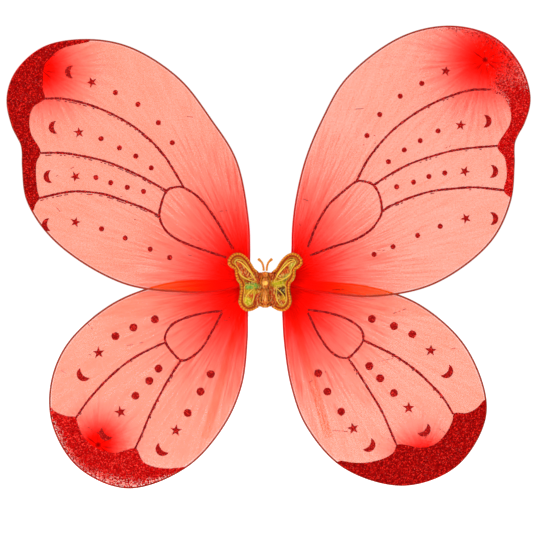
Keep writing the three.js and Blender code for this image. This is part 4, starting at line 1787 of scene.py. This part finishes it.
    def fine_length(self) -> float:
        """The length round the rim, in metres."""
        return float(np.linalg.norm(np.roll(self.fine, -1, axis=0) - self.fine, axis=1).sum())


def beaded(line: np.ndarray, radius: float, pitch: float) -> Mesh:
    """Sweeps a row of touching beads along a line, at that pitch in metres.

    Args:
        line: Points along the line.
        radius: A bead's radius in metres.
        pitch: Distance between beads, in metres.

    Returns:
        Points, faces and places in millimetres.
    """
    length = np.linalg.norm(np.diff(line, axis=0), axis=1).sum()
    beads = max(2, round(length / pitch))
    fine = resample(line, beads * 8 + 1)
    swell = np.abs(np.sin(np.linspace(0, beads * math.pi, len(fine))))
    return sweep(fine, radius * (0.30 + 0.70 * np.sqrt(swell)), 10)


def crumple(seed: int, height: float, size: float) -> Relief:
    """A relief of creased foil, as sharp ridges at several angles.

    Args:
        seed: Makes one foil differ from the next.
        height: Height of the ridges in metres.
        size: Distance between them in metres.

    Returns:
        A relief for Plate.panel.
    """
    dice = random.Random(seed)
    folds = []
    for _ in range(7):
        angle, pitch = dice.uniform(0, math.pi), size * dice.uniform(0.6, 1.7)
        folds.append((math.cos(angle) / pitch, math.sin(angle) / pitch, dice.random()))

    def relief(flat: np.ndarray, clear: np.ndarray) -> np.ndarray:
        """Height of the creases at those places, less near the rim.

        Args:
            flat: Places on the plate, in metres.
            clear: Their distances from the rim, in metres.

        Returns:
            Heights in metres.
        """
        total = np.zeros(len(flat))
        for x, z, start in folds:
            total += np.abs(((flat[:, 0] * x + flat[:, 1] * z + start) % 1.0) * 2 - 1)
        dome = np.clip(clear / (2.5 * MM), 0, 1)
        return height * (total / len(folds) - 0.5) * 2 * dome + 0.4 * MM * (dome - 1) * 0.8

    return relief


def softened(edge: float, ripple: float, seed: float) -> Relief:
    """A relief of soft cloth, which falls away at the rim over that distance.

    Args:
        edge: How wide the rounded rim is, in metres.
        ripple: Height of the ripples, in metres.
        seed: Makes one cloth differ from the next.

    Returns:
        A relief for Plate.panel.
    """

    def relief(flat: np.ndarray, clear: np.ndarray) -> np.ndarray:
        """Height of the cloth at those places, lower near the rim.

        Args:
            flat: Places on the plate, in metres.
            clear: Their distances from the rim, in metres.

        Returns:
            Heights in metres.
        """
        fall = -edge * 0.8 * np.exp(-((clear / edge) ** 2) * 2)
        x, z = flat[:, 0] / MM, flat[:, 1] / MM
        return fall + ripple * np.sin(x * 0.9 + seed) * np.sin(z * 1.1 - x * 0.3 + seed)

    return relief


@dataclass
class Patch:
    """The butterfly: two embroidered foil wings on folds, and a bead body between them.

    Sizes are in millimetres.
    """

    nodes: dict[str, Thing]
    middle: float = -1.8
    vein_routes: tuple[tuple[Places, float], ...] = (
        (((8.6, 2), (10.8, 5.2), (13, 8.5), (19, 15.5), (24.5, 20.3), (29, 22)), 0.8),
        (((9, 0.8), (11, 1.4), (17, 3.4), (23, 6.5), (27, 11.5)), 0.6),
        (((9, -3.6), (11, -5), (14.5, -7.5), (18.5, -12), (20.5, -18)), 0.6),
        (((9, -8), (10.6, -12.5), (12.6, -17.5), (15, -21.5)), 0.6),
    )
    chevrons: tuple[Places, ...] = (
        ((1.2, -4), (3.2, -10), (4.8, -17)), ((0.4, -16.5), (2.6, -18.6), (4.8, -17.6)),
        ((0.3, -20.2), (2.4, -22.4), (4.7, -21)), ((2.9, 6.5), (4.2, 3.2), (4.6, -1)),
    )
    feeler: Places = ((1.5, 11.9), (1.7, 15.5), (3.2, 20), (6.9, 23.8))
    fold_at: float = 6.0
    fold_angle: float = math.radians(15)
    fold_start: float = 1.6
    fold_end: float = 12.2
    fold_height: float = 34.5
    fold_top: float = 10.4
    fold_foot: float = -22.8

    def build(self) -> None:
        """Makes both wings and the body."""
        for side in Side:
            self.wing(side, LEFT_FOIL if side is Side.LEFT else RIGHT_FOIL)
        self.body()

    def wing(self, side: Side, foil: FoilFinish) -> None:
        """One wing: cloth, rim cords in rows, crumpled foil and embroidered lines.

        Args:
            side: Which side it is on.
            foil: The side's foil.
        """
        body = f"{side.label}_patch_wing"
        start = f"butterfly_{side.label}"
        plate = Plate(self.nodes[f"{start}_backing"])
        cloth = plate.panel(f"{start}_cloth", foil, 0.8 * MM, crumple(3 * side.value, 0.22 * MM, 3.4 * MM))
        cloth.data.materials.append(RED_FELT.make())
        for face in cloth.data.polygons:
            face.material_index = int(face.normal.dot(Vector(plate.out)) < -0.5)
        settle(cloth, body, "patch_fabric", f"{start}_backing")
        rows = (
            ("outer_rope", 1.2, 1.15, GOLD_CORD, False),
            ("middle_rope", 3.0, 0.85, RUST_CORD, True),
            ("inner_row", 4.5, 0.65, GOLD_CORD, False),
        )
        for label, inset, radius, finish, twisted in rows:
            line = plate.at(self.outer_run(plate, inset * MM), (0.15 + radius) * MM)
            if twisted:
                cord = sweep(resample(line, 620), radius * MM, 12, 3, radius * 7.2 * MM, 0.42)
            else:
                cord = beaded(line, radius * MM, radius * 2.3 * MM)
            piece = dressed(f"{start}_{label}", finish, cord)
            nodes = [f"{start}_edge_cord"] if label == "outer_rope" else []
            settle(piece, body, "edge_cord", *nodes)
        for wing, seed in (("fore", 5), ("hind", 9)):
            sheet = Plate(self.nodes[f"{start}_{wing}_foil"])
            relief = crumple(seed * side.value, 0.55 * MM, 4.2 * MM)
            piece = sheet.panel(f"{side.label}_foil_{wing}", foil, 0.55 * MM, relief)
            settle(piece, body, "foil", f"{start}_{wing}_foil")
            edge = sheet.at(sheet.inset(0.3 * MM), 0.15 * MM)
            trim = dressed(f"{side.label}_foil_{wing}_trim", YELLOW_SILK, beaded(edge, 0.45 * MM, 1.2 * MM))
            settle(trim, body, "edge_cord")
        self.embroidery(side, plate)
        self.fold_cloth(side, foil)

    def embroidery(self, side: Side, plate: Plate) -> None:
        """The yellow lines that run out from the body over a wing.

        Args:
            side: Which side it is on.
            plate: The wing's backing.
        """
        parts = []
        for route, width in self.vein_routes:
            places = [(self.middle + side.value * x, z) for x, z in route]
            flat = plate.under(places)
            climb = np.clip((np.array([x for x, _ in route]) - 11) / 1.5, 0, 1)
            line = smooth_line(plate.at(flat, (0.3 + 1.45 * climb) * MM), 0.3 * MM)
            swell = np.sin(np.linspace(0.25, math.pi - 0.1, len(line))) ** 0.5
            parts.append(sweep(line, width * MM * swell, 10, 5, 5 * MM, 0.25))
        veins = dressed(f"butterfly_{side.label}_embroidery", YELLOW_SILK, *parts)
        settle(veins, f"{side.label}_patch_wing", "edge_cord")

    def outer_run(self, plate: Plate, distance: float) -> np.ndarray:
        """The inset line without its stretch along the fold, from the top of the fold round to its foot.

        Args:
            plate: The wing's backing.
            distance: How far inside the rim, in metres.

        Returns:
            Places on the plate, in metres.
        """
        ring = plate.inset(distance)[:-1]
        fold = np.min(np.abs(plate.at(plate.rim, 0)[:, 0] - self.middle * MM))
        far = np.abs(plate.at(ring, 0)[:, 0] - self.middle * MM) - fold > distance + 0.5 * MM
        first = int(np.argmax(far & ~np.roll(far, 1)))
        return np.roll(ring, -first, axis=0)[np.roll(far, -first)]

    def fold_cloth(self, side: Side, foil: FoilFinish) -> None:
        """The foil cloth that runs on from the middle strip, over the fold and under the wing's embroidery.

        Args:
            side: Which side it is on.
            foil: The side's foil.
        """
        strip_low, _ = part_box("butterfly_core_strip")
        front, fold = strip_low.y - 0.12 * MM, self.fold_at
        steps, rows = 24, 46
        verts, faces = [], []
        for i in range(steps + 1):
            out = self.fold_start + (self.fold_end - self.fold_start) * i / steps
            beyond = max(0.0, out - fold)
            widens = max(0.0, beyond - 1) * 0.45
            top, foot = self.fold_top + widens, self.fold_foot - widens
            for j in range(rows + 1):
                z = foot + (top - foot) * j / rows
                x = self.middle + side.value * (min(out, fold) + beyond * math.cos(self.fold_angle))
                crinkle = 0.10 * math.sin(out * 2.1 + z * 0.8) * math.sin(z * 1.7 - out)
                verts.append((x * MM, front + (crinkle - beyond * math.sin(self.fold_angle)) * MM, z * MM))
        for i in range(steps):
            for j in range(rows):
                a = i * (rows + 1) + j
                faces.append((a, a + 1, a + rows + 2, a + rows + 1))
        piece = make_piece(f"{side.label}_fold_cloth", np.array(verts), faces, foil.make())
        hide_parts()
        x = (self.middle + side.value * fold) * MM
        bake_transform(piece)

    def ribbed(
        self, node: str, finish: Finish, slot: str, ridges: float, depth: float, flare: float = 0.0
    ) -> None:
        """An oval of bound threads in a body segment's place.

        Args:
            node: The segment.
            finish: Its finish.
            slot: Its finish slot.
            ridges: Rows of thread from top to bottom.
            depth: Depth of the grooves, as a share of the radius.
            flare: How much wider the lower end is than the upper one.
        """
        low, high = (np.array(p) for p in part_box(node))
        middle, half = (low + high) / 2, (high - low) / 2
        rings, around = 46, 28
        verts, uv = [], []
        for i in range(rings):
            t = math.pi * (i + 0.5) / rings
            groove = 1 - depth * (0.5 - 0.5 * math.cos(TURN * ridges * i / rings))
            wide = math.sin(t) ** 0.8 * groove * (1 - flare * math.cos(t))
            for j in range(around):
                a = TURN * j / around
                wave = 1 + 0.04 * math.sin(5 * a + i * 0.9)
                x, y = half[0] * wide * math.cos(a) * wave, half[1] * min(wide, 1.0) * math.sin(a) * 0.96
                verts.append(middle + (x / (1 + flare * 0.3), y, half[2] * math.cos(t)))
                uv.append((a * half[0] / MM, i * half[2] * 2 / rings / MM))
        tube = (np.array(verts), tube_faces(rings, around, flipped=True), np.array(uv))
        piece = dressed(node.replace("butterfly_", "bound_"), finish, tube)
        settle(piece, "back_assembly", slot, node)

    def body(self) -> None:
        """The strip between the wings, the bound body, its bead and the antennae."""
        strip = Plate(self.nodes["butterfly_core_strip"])
        cloth = strip.panel("middle_cloth", BODY_FOIL, 0.8 * MM, crumple(4, 0.2 * MM, 3.0 * MM))
        settle(cloth, "back_assembly", "patch_fabric", "butterfly_core_strip")
        parts = []
        for route in self.chevrons:
            for side in Side:
                places = [(self.middle + side.value * x, z) for x, z in route]
                line = smooth_line(strip.at(strip.under(places), 0.75 * MM), 0.25 * MM)
                parts.append(beaded(line, 0.62 * MM, 1.3 * MM))
        settle(dressed("middle_chevrons", GOLD_CORD, *parts), "back_assembly", "edge_cord")
        self.ribbed("butterfly_head", BODY_FOIL, "foil", 4, 0.10)
        self.ribbed("butterfly_thorax", BODY_FOIL, "foil", 7, 0.12)
        self.ribbed("butterfly_abdomen", BODY_FOIL, "foil", 9, 0.16, 0.12)
        self.ribbed("butterfly_bead", AMBER, "gem", 1, 0.0)
        for side in Side:
            low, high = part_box(f"butterfly_{side.label}_antenna")
            depth = (low.y + high.y) / 2
            route = [((self.middle + side.value * x) * MM, depth, z * MM) for x, z in self.feeler]
            line = smooth_line(route, 0.25 * MM)
            share = np.linspace(0, 1, len(line))
            radius = (1.2 + 0.4 * np.exp(-(((share - 0.9) / 0.12) ** 2))) * MM
            piece = dressed(f"{side.label}_feeler", GOLD_CORD, sweep(line, radius, 10, 2, 3.2 * MM, 0.3))
            settle(piece, "back_assembly", "edge_cord", f"butterfly_{side.label}_antenna")


@dataclass
class Centre:
    """The four twisted stems, their ties, the ribbon round them and the bunched nylon at each root.

    Sizes are in millimetres.
    """

    wings: list[Wing]
    depth: float = -10.4
    stem_height: float = 3.5
    wire_radius: float = 0.9
    pair_offset: float = 0.8
    twist: float = 12.0
    stem_start: float = 0.7
    stem_end: float = 9.3
    tie_middle: float = 8.75
    tie_radius: float = 2.42
    tie_length: float = 2.5
    tie_turns: int = 9
    thread_radius: float = 0.24
    wrap_length: float = 14.4
    wrap_half_height: float = 6.4
    wrap_half_depth: float = 2.9
    ribbon_pitch: float = 2.4
    ribbon_lap: float = 0.35
    gather_end: float = 17.0
    gather_half_height: float = 2.3
    gather_half_depth: float = 2.2
    gather_pleats: int = 9
    pleat_depth: float = 0.16
    follows_wing_at: float = 13.5

    def build(self) -> None:
        """Makes every piece of the centre."""
        for wing in self.wings:
            self.stem(wing)
            self.tie(wing)
            self.root_gather(wing)
        self.ribbon()

    def coil(self, wing: Wing, along: np.ndarray, radius: float | np.ndarray, turn: np.ndarray) -> np.ndarray:
        """Points that wind round a wing's stem.

        Args:
            wing: The wing.
            along: Distances from the middle, in millimetres.
            radius: Distances from the stem's middle line, in millimetres.
            turn: Angles round it.

        Returns:
            The points in metres.
        """
        y = self.depth + radius * np.cos(turn)
        z = wing.up * self.stem_height + radius * np.sin(turn)
        return np.stack([wing.side.value * along, y, z], axis=1) * MM

    def stem(self, wing: Wing) -> None:
        """Two wires twisted round each other.

        Args:
            wing: The wing.
        """
        along = np.linspace(self.stem_start, self.stem_end, 60)
        parts = []
        for phase in (0, math.pi):
            line = self.coil(wing, along, self.pair_offset, along / self.twist * TURN + phase)
            parts.append(sweep(line, self.wire_radius * MM, 12))
        piece = dressed(f"{wing.name}_stem", WIRE, *parts)
        settle(piece, "back_assembly", "wire", f"{wing.name}_twisted_stem")

    def tie(self, wing: Wing) -> None:
        """Thread wound tightly round a stem, in two layers, with its cut end.

        Args:
            wing: The wing.
        """
        angle = np.linspace(0, self.tie_turns * TURN, self.tie_turns * 20)
        to_and_fro = np.abs((angle / angle[-1] * 2) % 2 - 1) - 0.5
        along = self.tie_middle + (self.tie_length - 0.5) * to_and_fro
        line = self.coil(wing, along, self.tie_radius + 0.10 * np.sin(angle * 0.37), angle)
        piece = dressed(f"{wing.name}_thread_tie", RED_THREAD, sweep(line, self.thread_radius * MM, 7))
        settle(piece, "back_assembly", "thread", f"{wing.name}_root_tie")

    def root_gather(self, wing: Wing) -> None:
        """The nylon's bunched end, from under the tie, over the fold and into the wing.

        Args:
            wing: The wing.
        """
        around, steps = 72, 22
        start, end = self.wrap_length / 2 + 0.1, self.gather_end
        verts, uv = [], []
        for i in range(steps + 1):
            share = i / steps
            x = start + (end - start) * share
            waist = math.exp(-(((x - self.tie_middle) / 1.3) ** 2))
            wide = self.gather_half_height + 2.6 * share**1.5 - 0.25 * waist
            deep = self.gather_half_depth - 0.35 * share - 0.2 * waist
            middle = wing.up * (self.stem_height + 1.6 * share**1.3)
            shelf = (wing.line[:, 1].mean() / MM - self.depth) * share**1.5
            for j in range(around):
                a = TURN * j / around
                crease = 0.5 - 0.5 * math.cos(self.gather_pleats * a + 1.5 * math.sin(2 * a))
                fold = 1 - self.pleat_depth * (1 - waist) * crease
                y, z = self.depth + shelf + deep * fold * math.cos(a), middle + wide * fold * math.sin(a)
                verts.append((wing.side.value * x, y, z))
                uv.append((x, a * 2.4))
        tube = (np.array(verts) * MM, tube_faces(steps + 1, around, capped=False), np.array(uv))
        piece = dressed(f"{wing.name}_root_gather", ROOT_NYLON, tube)
        bpy.context.view_layer.update()
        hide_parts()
        fold = (wing.side.value * (self.tie_middle + self.tie_length / 2) * MM, self.depth * MM, 0.0)
        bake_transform(piece)

    def ribbon(self) -> None:
        """Satin ribbon wound over all four stems, each turn lapping the one before."""
        around, steps = 96, 110
        half_depth, half_height = self.wrap_half_depth - 0.38, self.wrap_half_height - 0.38
        verts, uv = [], []
        for i in range(steps + 1):
            x = -self.wrap_length / 2 + self.wrap_length * i / steps
            rounded = min(1.0, 0.9 + 0.25 * math.sqrt(max(0.0, self.wrap_length / 2 - abs(x))))
            for j in range(around):
                a = TURN * j / around
                c, d = math.cos(a), math.sin(a)
                square = (abs(c) ** 5 + abs(d) ** 5) ** -0.2
                lap = ((x / self.ribbon_pitch + a / TURN) % 1.0) * self.ribbon_lap
                crease = 0.03 * math.sin(9 * a + x * 1.3)
                y = (half_depth + lap + crease) * c * square * rounded
                z = (half_height + lap + crease) * d * square * rounded
                verts.append((x, self.depth + y, z))
                uv.append((x + a * self.ribbon_pitch / TURN, a * 5.5))
        tube = (np.array(verts) * MM, tube_faces(steps + 1, around, capped=False), np.array(uv))
        piece = dressed("stem_ribbon", RIBBON, tube)
        settle(piece, "back_assembly", "binding_tape", "stem_wrap")


@dataclass
class BackPad:
    """Felt, foam and felt, blanket-stitched together round the edge."""

    nodes: dict[str, Thing]
    stitch_spacing: float = 4.2 * MM
    stitch_inset: float = 2.4 * MM
    thread_radius: float = 0.32 * MM
    thread_pitch: float = 1.6 * MM
    tabs_below: float = -17.0
    tabs_from: float = 16.0
    tabs_to: float = 32.0
    fill: float = 0.9

    def build(self) -> None:
        """Makes the three layers, the sewn tabs and the stitches."""
        rear = Plate(self.nodes["rear_felt_cover"], (0, 1, 0))
        front = Plate(self.nodes["front_felt_cover"])
        foam = Plate(self.nodes["foam_core"])
        soft = softened(0.5 * MM, 0.04 * MM, 1.0)

        def flat_rear(flat: np.ndarray, clear: np.ndarray) -> np.ndarray:
            """Height of the rear felt, which is flat but for its rounded rim."""
            return -0.35 * MM * np.exp(-((clear / (0.5 * MM)) ** 2))

        for plate, name, relief in ((rear, "rear_felt", flat_rear), (front, "front_felt", soft)):
            piece = plate.panel(name, RED_FELT, 1.0 * MM, relief)
            settle(piece, "back_assembly", "felt", f"{name}_cover")
        pad = foam.panel("foam_pad", FOAM, 1.2 * MM, softened(0.6 * MM, 0.05 * MM, 0.3))
        settle(pad, "back_assembly", "foam", "foam_core")
        self.stitches(rear, front)
        for side in Side:
            tab = Plate(self.nodes[f"{side.label}_elastic_tab"], (0, 1, 0))
            piece = tab.panel(f"{side.label}_sewn_tab", ELASTIC, 0.8 * MM, softened(0.2 * MM, 0.03 * MM, 0.0))
            settle(piece, "back_assembly", "elastic", f"{side.label}_elastic_tab")

    def stitches(self, rear: Plate, front: Plate) -> None:
        """Red thread that goes over the edge of both felts at even spaces.

        Args:
            rear: The rear felt.
            front: The front felt.
        """
        count = int(rear.fine_length() / self.stitch_spacing)
        ring = resample(closed(rear.fine), count + 1)
        inward = leftwards(np.gradient(ring, axis=0))
        total = float((rear.origin - front.origin) @ rear.out)
        parts = []
        for p, way in zip(ring[:-1], inward[:-1]):
            place = rear.at([p], 0)[0] / MM
            if place[2] < self.tabs_below and self.tabs_from < abs(place[0]) < self.tabs_to:
                continue
            half = (
                (p + way * self.stitch_inset, -0.5 * MM),
                (p + way * self.stitch_inset * 0.8, 0.0),
                (p + way * 0.4 * MM, -0.1 * MM),
                (p - way * self.thread_radius * 0.6, -0.8 * MM),
            )
            over = [rear.at([at], height) for at, height in half]
            under = [rear.at([at], -total - height) for at, height in half[::-1]]
            line = smooth_line(np.vstack(over + under), 0.4 * MM)
            parts.append(sweep(line, self.thread_radius, 7, 2, self.thread_pitch, 0.25))
        settle(dressed("pad_blanket_stitches", RED_THREAD, *parts), "back_assembly", "thread")


@dataclass
class ArmLoop:
    """A loop of flat woven elastic that goes round the wearer's shoulder. Sizes are in millimetres."""

    side: Side
    fold_x: float = 24.0
    fold_depth: float = -3.6
    fold_height: float = -23.7
    splay: float = math.radians(16)
    drop: float = 134.0
    bulge: float = 33.0
    width: float = 8.0
    thickness: float = 1.1
    ribs: int = 6

    def __post_init__(self) -> None:
        """Sets the loop's own directions at its fold."""
        way = self.side.value
        self.fold = np.array((way * self.fold_x, self.fold_depth, self.fold_height)) * MM
        self.across = np.array((math.cos(self.splay), 0.0, way * math.sin(self.splay)))
        self.up = np.array((-way * math.sin(self.splay), 0.0, math.cos(self.splay)))

    def band(self, route: Points, thickness: float, narrow: float = 0.0) -> Mesh:
        """Sweeps a ribbed flat section along a route of depth and height in millimetres.

        Args:
            route: Depths and heights in millimetres.
            thickness: Thickness in millimetres.
            narrow: How much narrower than the loop each half is.

        Returns:
            Points, faces and places in millimetres.
        """
        line = smooth_line([(y, z, 0) for y, z in route], 1.0)[:, :2]
        normal = leftwards(np.gradient(line, axis=0))
        share = np.linspace(-1, 1, 49)
        ribs = 0.86 + 0.14 * np.cos(share * math.pi * self.ribs)
        rib = thickness / 2 * ribs * np.sqrt(1 - 0.6 * share**8)
        wide = share * (self.width / 2 - narrow)
        section = [*zip(wide, rib), *zip(wide[::-1], -rib[::-1])]
        verts, uv = [], []
        for i, (p, way) in enumerate(zip(line, normal)):
            for across, off in section:
                y, z = p + way * off
                verts.append(self.fold + (self.across * across + np.array((0, y, 0)) + self.up * z) * MM)
                uv.append((i * 1.0, across))
        return np.array(verts), tube_faces(len(line), len(section)), np.array(uv)

    def build(self) -> None:
        """Makes the loop and its sewn fold."""
        leg, drop, bulge = self.thickness / 2, self.drop, self.bulge
        front = [(-leg, 0.3), (-leg - 0.5, -0.25 * drop), (-leg - 0.5, -0.6 * drop), (-leg + 1, -0.82 * drop)]
        turn = ((0.24, -0.965), (0.58, -0.995), (0.93, -0.88), (0.97, -0.7), (0.66, -0.42), (0.2, -0.14))
        route = [*front, *((bulge * y, z * drop) for y, z in turn), (leg + 1, -0.05 * drop), (leg, 0.3)]
        name = self.side.label
        loop = dressed(f"{name}_elastic_band", ELASTIC, self.band(route, self.thickness))
        settle(loop, f"{name}_arm_loop", "elastic", f"{name}_elastic_loop")
        short = self.band([(0, 3.4), (0, 1.5), (0, 0), (0, -1.6)], 2 * self.thickness + 0.35, -0.15)
        fold = dressed(f"{name}_elastic_fold", ELASTIC, short)
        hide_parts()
        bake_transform(fold)


# ---- Studio ----
@dataclass
class Studio:
    """The pale floor, the soft light and the camera.

    Each lamp has a name, a place, a size and a power in watts.
    """

    view_width: float = 522.3 * MM
    view_centre: Pair = (-0.5 * MM, 16.2 * MM)
    distance: float = 3.2
    sees_to: float = 50.0
    floor_drop: float = 0.34
    floor_reach: float = 20.0
    floor_glow: float = 0.7
    surround_light: float = 0.58
    surround_seen: float = 0.45
    lamps: tuple[tuple[str, tuple[float, float, float], float, float], ...] = (
        ("key", (-1.2, -1.6, 1.9), 1.0, 36.0),
        ("fill", (1.6, -1.5, 0.3), 1.8, 7.0),
        ("back", (0.4, 2.2, 1.2), 2.0, 16.0),
    )

    def build(self) -> None:
        """Sets up everything round the object."""
        scene = bpy.context.scene
        scene.view_settings.view_transform = "Standard"
        self.camera(scene)
        self.floor()
        self.world(scene)
        for lamp in self.lamps:
            self.lamp(*lamp)

    def camera(self, scene: bpy.types.Scene) -> None:
        """A long lens straight in front of the patch.

        Args:
            scene: The scene.
        """
        data = bpy.data.cameras.new("camera")
        data.lens = data.sensor_width * self.distance / self.view_width
        data.clip_end = self.sees_to
        eye = bpy.data.objects.new("camera", data)
        eye.location = (self.view_centre[0], -self.distance, self.view_centre[1])
        eye.rotation_euler = (math.pi / 2, 0, 0)
        scene.collection.objects.link(eye)
        scene.camera = eye

    def floor(self) -> None:
        """A wide pale floor."""
        mesh = bpy.data.meshes.new("floor")
        reach = self.floor_reach
        corners = [(-reach, -reach), (reach, -reach), (reach, reach), (-reach, reach)]
        mesh.from_pydata([(x, y, -self.floor_drop) for x, y in corners], [], [(0, 1, 2, 3)])
        material, graph, shader = Finish("pale_floor", roughness=0.9, specular=0.0).start()
        shader.inputs["Emission Color"].default_value = (1, 1, 1, 1)
        shader.inputs["Emission Strength"].default_value = self.floor_glow
        speckle = graph.noise(graph.node("NewGeometry").outputs["Position"], 3.0)
        graph.feed(shader.inputs["Base Color"], graph.mix(speckle, (0.95, 0.95, 0.95), (0.98, 0.98, 0.98)))
        mesh.materials.append(material)
        floor = bpy.data.objects.new("floor", mesh)
        bpy.context.scene.collection.objects.link(floor)

    def world(self, scene: bpy.types.Scene) -> None:
        """An even white surround, a little dimmer as a light than it looks.

        Args:
            scene: The scene.
        """
        world = bpy.data.worlds.new("surround")
        world.use_nodes = True
        scene.world = world
        graph = Graph(world.node_tree)
        seen = graph.node("LightPath").outputs["Is Camera Ray"]
        strength = graph.scaled(seen, self.surround_seen, self.surround_light)
        back = world.node_tree.nodes["Background"]
        back.inputs["Color"].default_value = (1, 1, 1, 1)
        graph.feed(back.inputs["Strength"], strength)

    def lamp(self, name: str, place: tuple, size: float, power: float) -> None:
        """A soft square lamp that faces the object.

        Args:
            name: Its name.
            place: Where it stands, in metres.
            size: Its width in metres.
            power: Its power in watts.
        """
        data = bpy.data.lights.new(name, "AREA")
        data.size = size
        data.energy = power
        lamp = bpy.data.objects.new(name, data)
        lamp.location = place
        lamp.rotation_euler = (-Vector(place)).to_track_quat("-Z", "Y").to_euler()
        bpy.context.scene.collection.objects.link(lamp)


def main() -> None:
    """Builds every piece around the frame, in order."""
    logging.basicConfig(level=logging.INFO, format="%(message)s")
    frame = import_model()
    Studio().build()
    wings = [
        Wing("upper", Side.LEFT, UPPER_LEFT, frame),
        Wing("upper", Side.RIGHT, UPPER_RIGHT, frame),
        Wing("lower", Side.LEFT, LOWER_LEFT, frame),
        Wing("lower", Side.RIGHT, LOWER_RIGHT, frame),
    ]
    for wing in wings:
        wing.build()
    Centre(wings).build()
    Patch(frame["nodes"]).build()
    BackPad(frame["nodes"]).build()
    for side in Side:
        ArmLoop(side).build()


if __name__ == "__main__":
    main()
